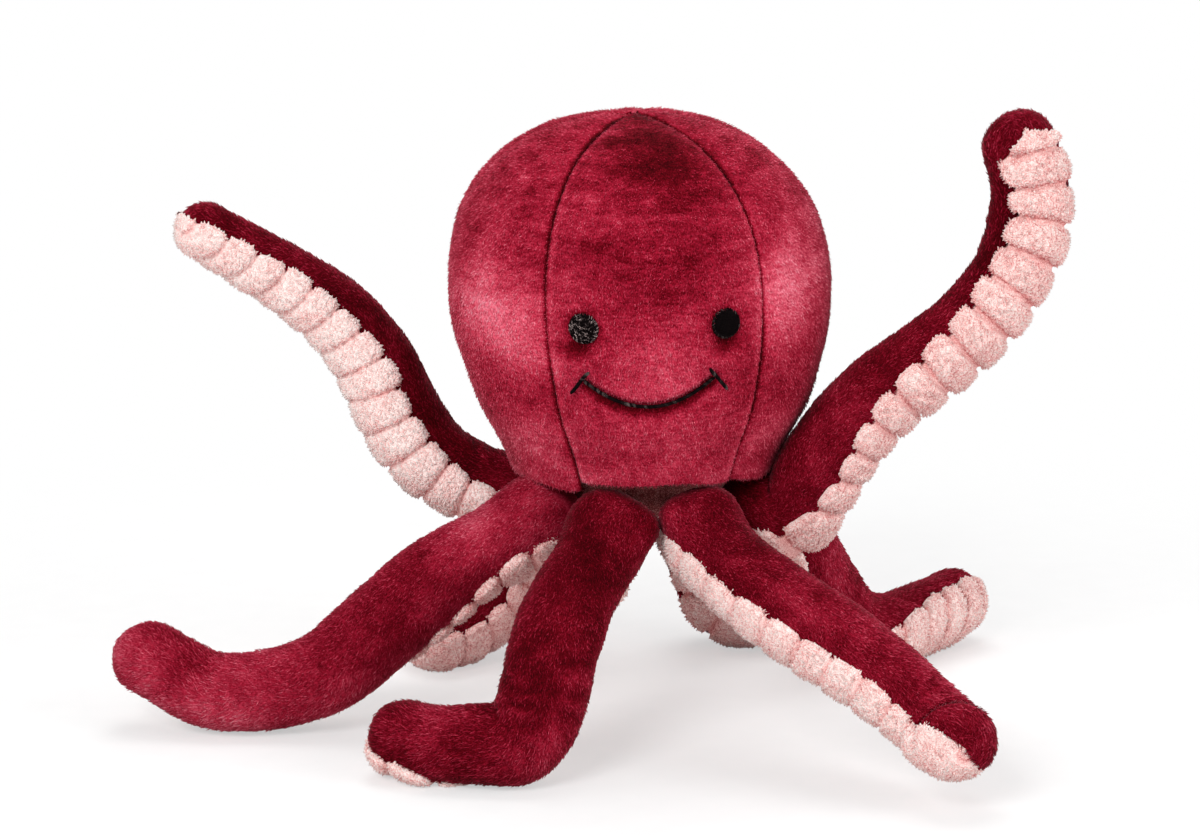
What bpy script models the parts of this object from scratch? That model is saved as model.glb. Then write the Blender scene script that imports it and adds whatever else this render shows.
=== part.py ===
"""A plush octopus with a domed head and eight stuffed tentacles.

Metres, +Z up, the face towards -Y, standing on z = 0. Each fabric panel, each stuffing and each
embroidered mark is an object of its own. Every tentacle hangs on an empty at its root hinge.
"""
import math

import bmesh
import bpy
from mathutils import Matrix, Vector

# The head: a dome of six panels over one stuffing
HEAD_HEIGHT = 0.1605
HEAD_RADIUS = 0.0844
HEM_RADIUS = 0.057
CROWN_HOLE_RADIUS = 0.0015
PANEL_PUFF = 0.0012
HEAD_LEAN_DEG = 1.7
FACE_HALF_ANGLE_DEG = 34.5
FACE_SEGMENTS = 6
OTHER_PANELS = ("front_right", "back_right", "back", "back_left", "front_left")
OTHER_SEGMENTS = 4
# Share of the height, share of the way from the hem's radius out to the widest
FLARE_SHARES = ((0.0, 0.0), (0.1, 0.29), (0.2, 0.6), (0.3, 0.8), (0.41, 0.96), (0.51, 1.0))
# Share of the height, share of the widest radius, from the widest up to the crown
DOME_SHARES = ((0.62, 0.985), (0.73, 0.925), (0.83, 0.8), (0.91, 0.625), (0.967, 0.38))

# The eight tentacles, sewn in a ring under the hem
ROOT_COUNT = 8
ROOT_RING_RADIUS = 0.050
ROOT_RADIUS = 0.017
ROOT_HEIGHT = 0.094
ROOT_CLEARANCE = 0.0004
TENTACLE_LENGTH = 0.215
MIDDLE_RADIUS = 0.0188
TIP_RADIUS = 0.0158
MIDDLE_SHARE = 0.36
FLATTEN_SHARE = 0.05
RIB_PITCH = 0.0155
RIB_HEIGHT = 0.0017
HALF_SEGMENTS = 5
# Where the rings of the round root lie, in shares of its radius, and those of the tip's cap
ROOT_RING_SHARES = (0.85, 0.5)
TIP_RING_DEGREES = (35, 65)

# Fabric, thread and how the pieces lie together
FABRIC_THICKNESS = 0.0015
PIECE_GAP = 0.0003
FLOOR_FLAT_DEPTH = 0.0005
BASE_PANEL_SAG = 0.003
BASE_SIDES = 32
EYE_SIDES = 16
EYE_RADIUS = 0.0065
EYE_THICKNESS = 0.0012
EYE_HEIGHT = 0.0789
EYE_ANGLE_DEG = 21.3
FACE_ASIDE = -0.0011
FACE_TILT_DEG = 1.3
THREAD_RADIUS = 0.0008
SMILE_ANGLE_DEG = 20.2
SMILE_CORNER_HEIGHT = 0.0555
SMILE_DROP = 0.0115
SMILE_ASIDE = -0.0034
TICK_LENGTH = 0.014
TICK_SLANT_DEG = 43.0
CUTTER_SIZE = 0.9

# The tips that are filled less than the others, as a share of their radius
TIP_FILL_SHARES = {"raised_left": 0.8}
# Each route runs from its root hinge: x and y in shares of the tentacle's length, then the
# height, where 0 lies on the floor and 1 is the root's height, then the way the plush side faces.
ROUTE_SHARES = {
    "front_centre": (-1, (
        (-0.04, -0.075, 0.88, (-0.2, -0.5, 0.85)),
        (-0.095, -0.155, 0.71, (-0.25, -0.85, 0.5)),
        (-0.135, -0.22, 0.48, (-0.2, -1.0, 0.3)),
        (-0.165, -0.255, 0.23, (-0.1, -0.95, 0.4)),
        (-0.215, -0.26, 0.04, (0.0, -0.8, 0.6)),
        (-0.3, -0.245, 0.0, (0.0, -0.68, 0.72)),
        (-0.39, -0.21, 0.0, (0.0, -0.6, 0.8)),
        (-0.48, -0.145, 0.05, (-0.1, -0.55, 0.83)))),
    "front_right": (1, (
        (0.035, -0.075, 0.91, (0.25, -0.3, 0.9)),
        (0.085, -0.15, 0.81, (0.35, -0.35, 0.87)),
        (0.155, -0.22, 0.69, (0.4, -0.3, 0.87)),
        (0.235, -0.28, 0.56, (0.4, -0.3, 0.87)),
        (0.32, -0.345, 0.41, (0.4, -0.32, 0.86)),
        (0.39, -0.4, 0.27, (0.35, -0.4, 0.84)),
        (0.43, -0.465, 0.18, (0.25, -0.55, 0.75)),
        (0.44, -0.55, 0.2, (0.25, -0.8, 0.6)))),
    "raised_right": (3, (
        (0.075, -0.03, 1.01, (-0.35, -0.1, 0.9)),
        (0.123, -0.052, 1.25, (-0.45, -0.3, 0.8)),
        (0.178, -0.072, 1.54, (-0.5, -0.25, 0.75)),
        (0.255, -0.093, 1.79, (-0.5, 0.05, 0.8)),
        (0.345, -0.112, 2.0, (-0.5, 0.3, 0.72)),
        (0.435, -0.125, 2.25, (-0.6, 0.45, 0.55)),
        (0.505, -0.135, 2.57, (-0.6, 0.62, 0.3)),
        (0.527, -0.14, 2.96, (-0.5, 0.78, 0.2)),
        (0.477, -0.165, 3.4, (-0.35, 0.85, 0.35)))),
    "rear_right": (5, (
        (0.07, 0.03, 0.84, (0.45, -0.1, 0.85)),
        (0.135, 0.07, 0.6, (0.65, -0.3, 0.65)),
        (0.195, 0.105, 0.33, (0.7, -0.3, 0.65)),
        (0.26, 0.135, 0.1, (0.5, -0.05, 0.85)),
        (0.335, 0.175, 0.0, (0.0, 0.35, 0.93)),
        (0.415, 0.24, 0.0, (-0.3, 0.58, 0.75)),
        (0.49, 0.305, 0.03, (-0.33, 0.6, 0.72)),
        (0.565, 0.36, 0.12, (-0.37, 0.55, 0.75)))),
    "rear_centre": (7, (
        (0.03, 0.09, 0.88, (0.0, 0.5, 0.85)),
        (0.062, 0.18, 0.69, (-0.2, 0.8, 0.55)),
        (0.09, 0.23, 0.42, (-0.3, 0.9, 0.35)),
        (0.125, 0.235, 0.16, (-0.3, 0.9, 0.3)),
        (0.185, 0.215, 0.02, (-0.15, 0.9, 0.3)),
        (0.26, 0.21, 0.0, (-0.05, 0.9, 0.4)),
        (0.34, 0.215, 0.0, (0.0, 0.85, 0.5)),
        (0.42, 0.25, 0.0, (0.0, 0.8, 0.6)))),
    "rear_left": (-7, (
        (-0.02, 0.085, 0.9, (-0.1, 0.4, 0.9)),
        (-0.055, 0.17, 0.79, (-0.3, 0.4, 0.8)),
        (-0.105, 0.225, 0.58, (-0.55, 0.2, 0.75)),
        (-0.16, 0.225, 0.32, (-0.7, 0.0, 0.65)),
        (-0.225, 0.19, 0.11, (-0.65, -0.15, 0.7)),
        (-0.3, 0.135, 0.0, (-0.6, -0.2, 0.75)),
        (-0.38, 0.075, 0.0, (-0.55, -0.2, 0.8)))),
    "raised_left": (-5, (
        (-0.073, 0.03, 1.01, (0.2, -0.05, 0.95)),
        (-0.14, 0.055, 1.08, (0.4, 0.0, 0.9)),
        (-0.22, 0.075, 1.24, (0.5, 0.1, 0.8)),
        (-0.28, 0.095, 1.49, (0.6, 0.1, 0.75)),
        (-0.33, 0.115, 1.79, (0.55, 0.1, 0.8)),
        (-0.41, 0.135, 2.06, (0.45, 0.1, 0.9)),
        (-0.5, 0.145, 2.26, (0.35, 0.1, 0.9)),
        (-0.6, 0.145, 2.44, (0.35, 0.05, 0.9)),
        (-0.725, 0.135, 2.66, (0.35, 0.0, 0.9)))),
    "front_left": (-3, (
        (-0.08, -0.02, 0.9, (-0.2, -0.3, 0.95)),
        (-0.165, -0.03, 0.78, (-0.1, -0.6, 0.75)),
        (-0.25, -0.025, 0.6, (0.0, -0.75, 0.65)),
        (-0.35, -0.015, 0.35, (0.0, -0.78, 0.6)),
        (-0.45, -0.01, 0.12, (0.0, -0.8, 0.58)),
        (-0.56, -0.005, 0.0, (0.0, -0.8, 0.58)),
        (-0.68, 0.01, 0.01, (0.0, -0.8, 0.58)),
        (-0.775, 0.04, 0.15, (0.05, -0.8, 0.58)),
        (-0.87, 0.07, 0.29, (0.1, -0.75, 0.6)))),
}
# How finely a route is sampled between two of its points
ROUTE_STEPS = 12

HEM_HEIGHT = ROOT_HEIGHT + ROOT_RADIUS + ROOT_CLEARANCE
NECK_RADIUS = ROOT_RING_RADIUS - ROOT_RADIUS - ROOT_CLEARANCE
NECK_BOTTOM = ROOT_HEIGHT - ROOT_RADIUS / 3

PLUSH = ("crimson_plush", (0.30, 0.012, 0.032), 0.9)
SHERPA = ("pink_sherpa", (0.82, 0.50, 0.47), 0.95)
FIBRE = ("white_fibre", (0.85, 0.84, 0.82), 1.0)
THREAD = ("black_thread", (0.012, 0.010, 0.012), 0.55)


def clear_scene():
    for thing in list(bpy.data.objects):
        bpy.data.objects.remove(thing, do_unlink=True)


def make_material(look):
    name, colour, roughness = look
    material = bpy.data.materials.get(name)
    if material is None:
        material = bpy.data.materials.new(name)
        material.use_nodes = True
        shader = material.node_tree.nodes["Principled BSDF"]
        shader.inputs["Base Color"].default_value = (*colour, 1.0)
        shader.inputs["Roughness"].default_value = roughness
        shader.inputs["Metallic"].default_value = 0.0
    return material


def add_object(name, mesh, look, collection, parent):
    mesh.materials.append(make_material(look))
    mesh.shade_smooth()
    mesh.set_sharp_from_angle(angle=math.radians(50))
    thing = bpy.data.objects.new(name, mesh)
    collection.objects.link(thing)
    thing.parent = parent
    return thing


def mesh_from(name, points, faces, origin):
    """A closed mesh of triangles, its faces turned out, with its points taken from origin."""
    mesh = bpy.data.meshes.new(name)
    mesh.from_pydata([point - origin for point in points], [], faces)
    shape = bmesh.new()
    shape.from_mesh(mesh)
    bmesh.ops.recalc_face_normals(shape, faces=shape.faces)
    shape.to_mesh(mesh)
    shape.free()
    return mesh


def add_empty(name, collection, parent, place):
    empty = bpy.data.objects.new(name, None)
    empty.empty_display_size = ROOT_RADIUS
    empty.location = place
    empty.parent = parent
    collection.objects.link(empty)
    return empty


def split(first, second, third, fourth):
    return [(first, second, third), (first, third, fourth)]


def grid_faces(rows, columns, start, closed=False):
    """Triangles of a grid of points, row after row from index start, wrapped round if closed.

    Every square is split along the same diagonal, so surfaces that lie together stay parallel.
    """
    faces = []
    for row in range(rows - 1):
        for column in range(columns if closed else columns - 1):
            after = (column + 1) % columns
            low = start + row * columns
            high = low + columns
            faces += split(low + column, low + after, high + after, high + column)
    return faces


# The head

def head_rows():
    """(radius, height above the hem, outward slope) of each row, from the hem to the crown."""
    rows = []
    for height_share, flare_share in FLARE_SHARES:
        radius = HEM_RADIUS + (HEAD_RADIUS - HEM_RADIUS) * flare_share
        rows.append((radius, HEAD_HEIGHT * height_share))
    for height_share, radius_share in DOME_SHARES:
        rows.append((HEAD_RADIUS * radius_share, HEAD_HEIGHT * height_share))
    rows.append((CROWN_HOLE_RADIUS, HEAD_HEIGHT))
    sloped = []
    for index, (radius, height) in enumerate(rows):
        before = rows[max(index - 1, 0)]
        after = rows[min(index + 1, len(rows) - 1)]
        slope = math.atan2(before[0] - after[0], after[1] - before[1])
        if index == 0:
            slope = 0.0
        if index == len(rows) - 1:
            slope = math.radians(90)
        sloped.append((radius, height, slope))
    return sloped


def lean(height):
    return -math.tan(math.radians(HEAD_LEAN_DEG)) * height


def head_point(row, angle, offset, aside=0.0):
    """A point of the head's surface, moved out along its normal and aside along the row."""
    radius, height, slope = row
    out = max(radius + offset * math.cos(slope), CROWN_HOLE_RADIUS / 2)
    turn = angle + aside / out
    rise = height + offset * math.sin(slope)
    across = out * math.sin(turn) + lean(rise)
    return Vector((across, -out * math.cos(turn), HEM_HEIGHT + rise))


def row_at(height):
    """The head's surface at any height above the hem."""
    rows = head_rows()
    for low, high in zip(rows, rows[1:]):
        if low[1] <= height <= high[1]:
            share = (height - low[1]) / (high[1] - low[1])
            return tuple(a + (b - a) * share for a, b in zip(low, high))
    return rows[-1]


def puff(row, share):
    """How far a panel bulges between its seams."""
    fullness = min(1.0, 2 * row[0] / HEAD_RADIUS)
    return PANEL_PUFF * fullness * (1 - (2 * share - 1) ** 2)


def head_panels():
    """(name, first angle, last angle, segments) of the six panels, by turns from the face."""
    half = math.radians(FACE_HALF_ANGLE_DEG)
    panels = [("face", -half, half, FACE_SEGMENTS)]
    width = (2 * math.pi - 2 * half) / len(OTHER_PANELS)
    for index, name in enumerate(OTHER_PANELS):
        first = half + width * index
        panels.append((name, first, first + width, OTHER_SEGMENTS))
    return panels


def head_panel_mesh(name, first, last, segments):
    rows = head_rows()
    points = []
    for depth in (0.0, FABRIC_THICKNESS):
        for row in rows:
            for column in range(segments + 1):
                share = column / segments
                angle = first + (last - first) * share
                aside = 0.0
                if column == 0:
                    aside = PIECE_GAP / 2
                if column == segments:
                    aside = -PIECE_GAP / 2
                points.append(head_point(row, angle, puff(row, share) - depth, aside))
    columns = segments + 1
    count = len(rows) * columns
    outer = grid_faces(len(rows), columns, 0)
    inner = [face[::-1] for face in grid_faces(len(rows), columns, count)]
    border = [row * columns for row in range(len(rows))]
    border += [(len(rows) - 1) * columns + column for column in range(1, columns)]
    border += [row * columns + columns - 1 for row in range(len(rows) - 2, -1, -1)]
    border += list(range(columns - 2, 0, -1))
    rim = []
    for here, there in zip(border, border[1:] + border[:1]):
        rim += split(here, there, there + count, here + count)
    return mesh_from(name, points, outer + inner + rim, Vector())


def head_stuffing_mesh():
    """The head's filling: the dome inside its panels, and a neck inside the base panel's cup."""
    inset = -(FABRIC_THICKNESS + PIECE_GAP)
    angles = []
    for _, first, last, segments in head_panels():
        for column in range(segments):
            share = column / segments
            angles.append((first + (last - first) * share, share))
    rows = [row_at(-inset)] + head_rows()[1:-1]
    points = []
    for row in rows:
        for angle, share in angles:
            points.append(head_point(row, angle, puff(row, share) + inset))
    dome = len(points)
    count = len(angles)
    neck_radius = (NECK_RADIUS + inset) * math.cos(math.pi / BASE_SIDES)
    for point in points[:count]:
        point.z = HEM_HEIGHT - inset
    for height in (HEM_HEIGHT - inset, NECK_BOTTOM - inset):
        for angle, _ in angles:
            turned = Vector((math.sin(angle), -math.cos(angle), 0))
            points.append(neck_radius * turned + Vector((0, 0, height)))
    top = len(points)
    crown = HEM_HEIGHT + HEAD_HEIGHT + inset
    points += [Vector((lean(HEAD_HEIGHT), 0, crown)), Vector((0, 0, NECK_BOTTOM - inset))]
    faces = grid_faces(len(rows), count, 0, closed=True)
    for column in range(count):
        after = (column + 1) % count
        faces += split(dome + column, dome + after, after, column)
        faces += split(dome + count + column, dome + count + after, dome + after, dome + column)
        faces.append((dome - count + column, dome - count + after, top))
        faces.append((dome + count + after, dome + count + column, top + 1))
    return mesh_from("head_stuffing", points, faces, Vector())


def add_base_panel(collection, parent):
    """The pink panel that closes the head: a flange inside the hem and a cup between the roots."""
    outer = HEM_RADIUS - FABRIC_THICKNESS - PIECE_GAP
    inner = NECK_RADIUS - FABRIC_THICKNESS
    flange = HEM_HEIGHT + FABRIC_THICKNESS
    floor = NECK_BOTTOM + FABRIC_THICKNESS
    profile = [(0, floor - BASE_PANEL_SAG), (inner, floor), (inner, flange), (outer, flange),
               (outer, HEM_HEIGHT), (NECK_RADIUS, HEM_HEIGHT), (NECK_RADIUS, NECK_BOTTOM),
               (0, NECK_BOTTOM - BASE_PANEL_SAG)]
    mesh = bpy.data.meshes.new("base_panel")
    edges = [(index, index + 1) for index in range(len(profile) - 1)]
    mesh.from_pydata([(radius, 0, height) for radius, height in profile], edges, [])
    panel = add_object("base_panel", mesh, SHERPA, collection, parent)
    turn = panel.modifiers.new("turn", "SCREW")
    turn.steps = BASE_SIDES
    turn.render_steps = BASE_SIDES
    turn.use_merge_vertices = True
    turn.merge_threshold = PIECE_GAP / 10
    turn.use_smooth_shade = True


def face_place(across, height):
    """(row, angle, lift) of a place on the face: across by arc length, height above the hem."""
    row = row_at(height + across * math.tan(math.radians(FACE_TILT_DEG)))
    angle = (across + FACE_ASIDE) / HEAD_RADIUS
    share = (angle / math.radians(FACE_HALF_ANGLE_DEG) + 1) / 2
    return row, angle, puff(row, share) + PIECE_GAP


def add_eye(name, side, collection, parent):
    """A low embroidered dome that lies on the face panel."""
    row, angle, lift = face_place(side * math.radians(EYE_ANGLE_DEG) * HEAD_RADIUS, EYE_HEIGHT)
    profile = [(0, EYE_THICKNESS), (EYE_RADIUS * 0.6, EYE_THICKNESS * 0.9),
               (EYE_RADIUS * 0.9, EYE_THICKNESS * 0.6), (EYE_RADIUS, EYE_THICKNESS * 0.2),
               (EYE_RADIUS * 0.97, 0), (0, 0)]
    mesh = bpy.data.meshes.new(name)
    edges = [(index, index + 1) for index in range(len(profile) - 1)]
    mesh.from_pydata([(radius, 0, height) for radius, height in profile], edges, [])
    eye = add_object(name, mesh, THREAD, collection, parent)
    turn = eye.modifiers.new("turn", "SCREW")
    turn.steps = EYE_SIDES
    turn.render_steps = EYE_SIDES
    turn.use_merge_vertices = True
    turn.merge_threshold = PIECE_GAP / 10
    eye.location = head_point(row, angle, lift)
    outward = head_point(row, angle, lift + EYE_RADIUS) - head_point(row, angle, lift)
    eye.rotation_mode = "QUATERNION"
    eye.rotation_quaternion = outward.to_track_quat("Z", "Y")


def add_thread(name, path, collection, parent):
    """A run of embroidery thread along points of the face."""
    curve = bpy.data.curves.new(name, "CURVE")
    curve.dimensions = "3D"
    curve.bevel_depth = THREAD_RADIUS
    curve.bevel_resolution = 1
    curve.use_fill_caps = True
    spline = curve.splines.new("POLY")
    spline.points.add(len(path) - 1)
    for place, point in zip(spline.points, path):
        place.co = (*point, 1.0)
    thread = bpy.data.objects.new(name, curve)
    curve.materials.append(make_material(THREAD))
    collection.objects.link(thread)
    thread.parent = parent


def smile_point(across, height):
    """A point on the middle of the smile's thread, which lies on the face panel."""
    row, angle, lift = face_place(across + SMILE_ASIDE, height)
    return head_point(row, angle, lift + THREAD_RADIUS)


def add_smile(collection, parent):
    reach = math.radians(SMILE_ANGLE_DEG) * HEAD_RADIUS
    steps = 14
    path = []
    for step in range(steps + 1):
        share = 2 * step / steps - 1
        height = SMILE_CORNER_HEIGHT - SMILE_DROP * (1 - share * share)
        path.append(smile_point(reach * share, height))
    add_thread("smile_line", path, collection, parent)
    slant = math.radians(TICK_SLANT_DEG)
    aside = THREAD_RADIUS * 2 + PIECE_GAP * 2
    for name, side in (("smile_tick_left", -1), ("smile_tick_right", 1)):
        path = []
        for step in range(5):
            along = (step / 4 - 1 / 2) * TICK_LENGTH
            across = side * (reach + aside - along * math.sin(slant))
            path.append(smile_point(across, SMILE_CORNER_HEIGHT + along * math.cos(slant)))
        add_thread(name, path, collection, parent)


# The tentacles

def curve_through(rows):
    """Rows of numbers on one smooth curve through the given rows."""
    ends = [rows[0]] + list(rows) + [rows[-1]]
    smooth = []
    for before, low, high, after in zip(ends, ends[1:], ends[2:], ends[3:]):
        for step in range(ROUTE_STEPS):
            t = step / ROUTE_STEPS
            smooth.append([
                ((2 * b) + (c - a) * t + (2 * a - 5 * b + 4 * c - d) * t * t
                 + (3 * b - a - 3 * c + d) * t ** 3) / 2
                for a, b, c, d in zip(before, low, high, after)])
    smooth.append(list(rows[-1]))
    return smooth


def fullness(distance):
    """0 at the round root, 1 once the limb has its own section."""
    share = min(max(distance / (2 * ROOT_RADIUS), 0.0), 1.0)
    return share * share * (3 - 2 * share)


def tip_radius(name):
    return TIP_RADIUS * TIP_FILL_SHARES.get(name, 1.0)


def limb_radius(distance, length, tip):
    """The limb swells from its root to the middle and tapers to its tip."""
    share = min(max(distance / length, 0.0), 1.0)
    if share < MIDDLE_SHARE:
        turn = math.cos(math.pi * share / MIDDLE_SHARE)
        return MIDDLE_RADIUS - (MIDDLE_RADIUS - ROOT_RADIUS) * (1 + turn) / 2
    turn = math.cos(math.pi * (share - MIDDLE_SHARE) / (1 - MIDDLE_SHARE))
    return tip + (MIDDLE_RADIUS - tip) * (1 + turn) / 2


def section_offset(frame, radius, angle, distance):
    """A point of the limb's slightly flattened section, by its angle from the plush side."""
    _, up, side = frame
    flat = FLATTEN_SHARE * fullness(distance)
    return (up * math.cos(angle) * (1 - flat) + side * math.sin(angle) * (1 + flat)) * radius


def frames_along(places, facings):
    frames = []
    for index in range(len(places)):
        ahead = places[min(index + 1, len(places) - 1)]
        behind = places[max(index - 1, 0)]
        tangent = (ahead - behind).normalized()
        up = (facings[index] - tangent * facings[index].dot(tangent)).normalized()
        frames.append((tangent, up, tangent.cross(up)))
    return frames


def lying_height(frame, radius, distance):
    """How high a limb's middle lies above the floor, with its underside pressed flat."""
    depth = 0.0
    for step in range(4 * HALF_SEGMENTS):
        angle = math.pi * step / (2 * HALF_SEGMENTS)
        ribbed = radius
        if math.cos(angle) < 0:
            ribbed += RIB_HEIGHT * rib_fade(angle)
        depth = max(depth, -section_offset(frame, ribbed, angle, distance).z)
    return depth - FLOOR_FLAT_DEPTH


def rib_fade(angle):
    """Ribs are fullest along the middle of the underside and die out at its seams."""
    return min(1.0, 2 * abs(math.cos(angle)))


def evened(values):
    """Each value averaged with its neighbours along the route, so that it has no kinks."""
    spread = ROUTE_STEPS
    even = []
    for index in range(len(values)):
        near = values[max(index - spread, 0):index + spread + 1]
        even.append(sum(near) / len(near))
    return even


def route_height(rise, low):
    """Height from a share of the climb between a limb that lies on the floor and its root."""
    climb = ROOT_HEIGHT - MIDDLE_RADIUS
    lifted = MIDDLE_RADIUS + rise * climb
    flat = max(0.0, 1.0 - max(rise, 0.0))
    return lifted + (low - MIDDLE_RADIUS) * flat * flat


def tentacle_route(name, sink=0.0):
    """Places and facings along a tentacle, their distances from the root hinge, the tip's radius."""
    tip = tip_radius(name)
    number, shares = ROUTE_SHARES[name]
    turn = math.pi * number / ROOT_COUNT
    root = Vector((math.sin(turn), -math.cos(turn), 0)) * ROOT_RING_RADIUS
    rows = [(0.0, 0.0, 1.0, *shares[0][3])]
    rows += [(x, y, rise, *facing) for x, y, rise, facing in shares]
    smooth = curve_through(rows)
    facings = [Vector(row[3:]).normalized() for row in smooth]
    lying = [MIDDLE_RADIUS] * len(smooth)
    for _ in range(3):
        places = []
        for row, low in zip(smooth, lying):
            height = route_height(row[2], low)
            across = Vector((row[0], row[1], 0)) * TENTACLE_LENGTH
            places.append(root + across + Vector((0, 0, height)))
        distances = [0.0]
        for here, there in zip(places, places[1:]):
            distances.append(distances[-1] + (there - here).length)
        frames = frames_along(places, facings)
        lying = []
        for frame, distance in zip(frames, distances):
            radius = limb_radius(distance, distances[-1], tip)
            lying.append(lying_height(frame, radius, distance))
        lying = [low - sink for low in evened(lying)]
    return places, facings, distances, tip


def settled_route(name):
    """The route of a tentacle, sunk until its lowest rib is pressed flat by the floor."""
    route = tentacle_route(name)
    if min(share[2] for share in ROUTE_SHARES[name][1]) > 0:
        return route
    sink = 0.0
    for _ in range(2):
        rings = limb_panel_rings(route, 0.0, True)[0] + limb_panel_rings(route, 0.0, False)[0]
        sink += min(point.z for ring in rings for point in ring) + FLOOR_FLAT_DEPTH
        route = tentacle_route(name, sink)
    return route


def route_at(route, distance):
    """Place and facing at a distance along the route, straight on behind its root."""
    places, facings, distances, _ = route
    if distance <= 0:
        back = (places[1] - places[0]).normalized()
        return places[0] + back * distance, facings[0]
    index = 1
    while distances[index] < distance and index < len(places) - 1:
        index += 1
    step = distances[index] - distances[index - 1]
    share = (distance - distances[index - 1]) / step
    place = places[index - 1].lerp(places[index], share)
    return place, facings[index - 1].lerp(facings[index], share)


def limb_stations(route, inset):
    """(place, frame, radius, distance) of each ring, from the open root to the tip's point."""
    length, tip = route[2][-1], route[3]
    straight = length - tip
    count = max(2, round(straight / RIB_PITCH))
    rings = []
    for share in ROOT_RING_SHARES:
        distance = -share * ROOT_RADIUS
        rings.append((distance, math.sqrt((ROOT_RADIUS - inset) ** 2 - distance ** 2)))
    for index in range(count + 1):
        distance = straight * index / count
        rings.append((distance, limb_radius(distance, length, tip) - inset))
    cap = tip - inset
    for degrees in TIP_RING_DEGREES:
        turn = math.radians(degrees)
        rings.append((straight + cap * math.sin(turn), cap * math.cos(turn)))
    rings.append((straight + cap, 0.0))
    placed = [route_at(route, distance) for distance, _ in rings]
    frames = frames_along([place for place, _ in placed], [facing for _, facing in placed])
    return [(place, frame, radius, distance)
            for (place, _), frame, (distance, radius) in zip(placed, frames, rings)]


def rib_between(low, high, angles, distance):
    """The crest of a rib, halfway between the two grooves beside it."""
    crest = []
    for index, angle in enumerate(angles):
        middle = (low[1][index] + high[1][index]) / 2
        outward = (middle - (low[0] + high[0]) / 2).normalized()
        crest.append(middle + outward * RIB_HEIGHT * rib_fade(angle) * fullness(distance))
    return crest


def limb_panel_rings(route, inset, underside):
    """Rings of points across one half of a tentacle, and its point at the tip."""
    first = math.pi / 2 if underside else -math.pi / 2
    shift = -PIECE_GAP / 2 if underside else PIECE_GAP / 2
    angles = [first + math.pi * column / HALF_SEGMENTS for column in range(HALF_SEGMENTS + 1)]
    stations = limb_stations(route, inset)
    rings = []
    for place, frame, radius, distance in stations[:-1]:
        middle = place + frame[1] * shift
        ring = [middle + section_offset(frame, radius, angle, distance) for angle in angles]
        if underside and RIB_PITCH / 2 < distance < route[2][-1] - route[3] / 2:
            rings.append((middle, rib_between(rings[-1], (middle, ring), angles, distance)))
        rings.append((middle, ring))
    place, frame, _, _ = stations[-1]
    return [ring for _, ring in rings], place + frame[1] * shift


def limb_panel_mesh(name, route, origin, underside):
    """One long panel of a tentacle, from seam to seam, with its fabric's thickness."""
    columns = HALF_SEGMENTS + 1
    points = []
    tips = []
    for inset in (0.0, FABRIC_THICKNESS):
        rings, apex = limb_panel_rings(route, inset, underside)
        points += [point for ring in rings for point in ring]
        tips.append(apex)
    rows = len(rings)
    count = rows * columns
    tip = len(points)
    points += tips
    faces = grid_faces(rows, columns, 0) + grid_faces(rows, columns, count)
    for start, apex in ((0, tip), (count, tip + 1)):
        last = start + (rows - 1) * columns
        faces += [(last + column, last + column + 1, apex) for column in range(columns - 1)]
    for edge in (0, columns - 1):
        line = [row * columns + edge for row in range(rows)]
        for here, there in zip(line, line[1:]):
            faces += split(here, there, there + count, here + count)
        faces += split(line[-1], tip, tip + 1, line[-1] + count)
    for column in range(columns - 1):
        faces += split(column, column + 1, column + 1 + count, column + count)
    return mesh_from(name, points, faces, origin)


def limb_stuffing_mesh(name, route, origin):
    """The filling of a tentacle, round at its root end and at its tip."""
    inset = FABRIC_THICKNESS + PIECE_GAP
    stations = limb_stations(route, inset)
    sides = 2 * HALF_SEGMENTS
    points = []
    for place, frame, radius, distance in stations[:-1]:
        for side in range(sides):
            angle = math.pi * side / HALF_SEGMENTS + math.pi / 2
            points.append(place + section_offset(frame, radius, angle, distance))
    rows = len(stations) - 1
    faces = grid_faces(rows, sides, 0, closed=True)
    last = (rows - 1) * sides
    root = len(points)
    points += [route_at(route, inset - ROOT_RADIUS)[0], stations[-1][0]]
    for side in range(sides):
        after = (side + 1) % sides
        faces.append((side, after, root))
        faces.append((last + side, last + after, root + 1))
    return mesh_from(name, points, faces, origin)


def add_floor_cutter(collection):
    """A block whose top is the floor, which presses flats under the limbs that lie on it."""
    shape = bmesh.new()
    below = Matrix.Translation((0, 0, -CUTTER_SIZE / 2))
    bmesh.ops.create_cube(shape, size=CUTTER_SIZE, matrix=below)
    mesh = bpy.data.meshes.new("floor_cutter")
    shape.to_mesh(mesh)
    shape.free()
    cutter = bpy.data.objects.new("floor_cutter", mesh)
    cutter.hide_render = True
    cutter.display_type = "WIRE"
    collection.objects.link(cutter)
    return cutter


def add_tentacle(name, collection, parent, cutter):
    route = settled_route(name)
    hinge = route[0][0]
    root = add_empty(name + "_tentacle_root", collection, parent, hinge)
    top = limb_panel_mesh(name + "_tentacle_top", route, hinge, False)
    under = limb_panel_mesh(name + "_tentacle_underside", route, hinge, True)
    filling = limb_stuffing_mesh(name + "_tentacle_stuffing", route, hinge)
    for mesh, look in ((top, PLUSH), (under, SHERPA), (filling, FIBRE)):
        thing = add_object(mesh.name, mesh, look, collection, root)
        lowest = min(corner.co.z for corner in mesh.vertices) + hinge.z
        if lowest < 0:
            cut = thing.modifiers.new("floor_flat", "BOOLEAN")
            cut.operation = "DIFFERENCE"
            cut.solver = "EXACT"
            cut.object = cutter
    corners = [corner.co + hinge for mesh in (top, under) for corner in mesh.vertices]
    return corners


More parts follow.
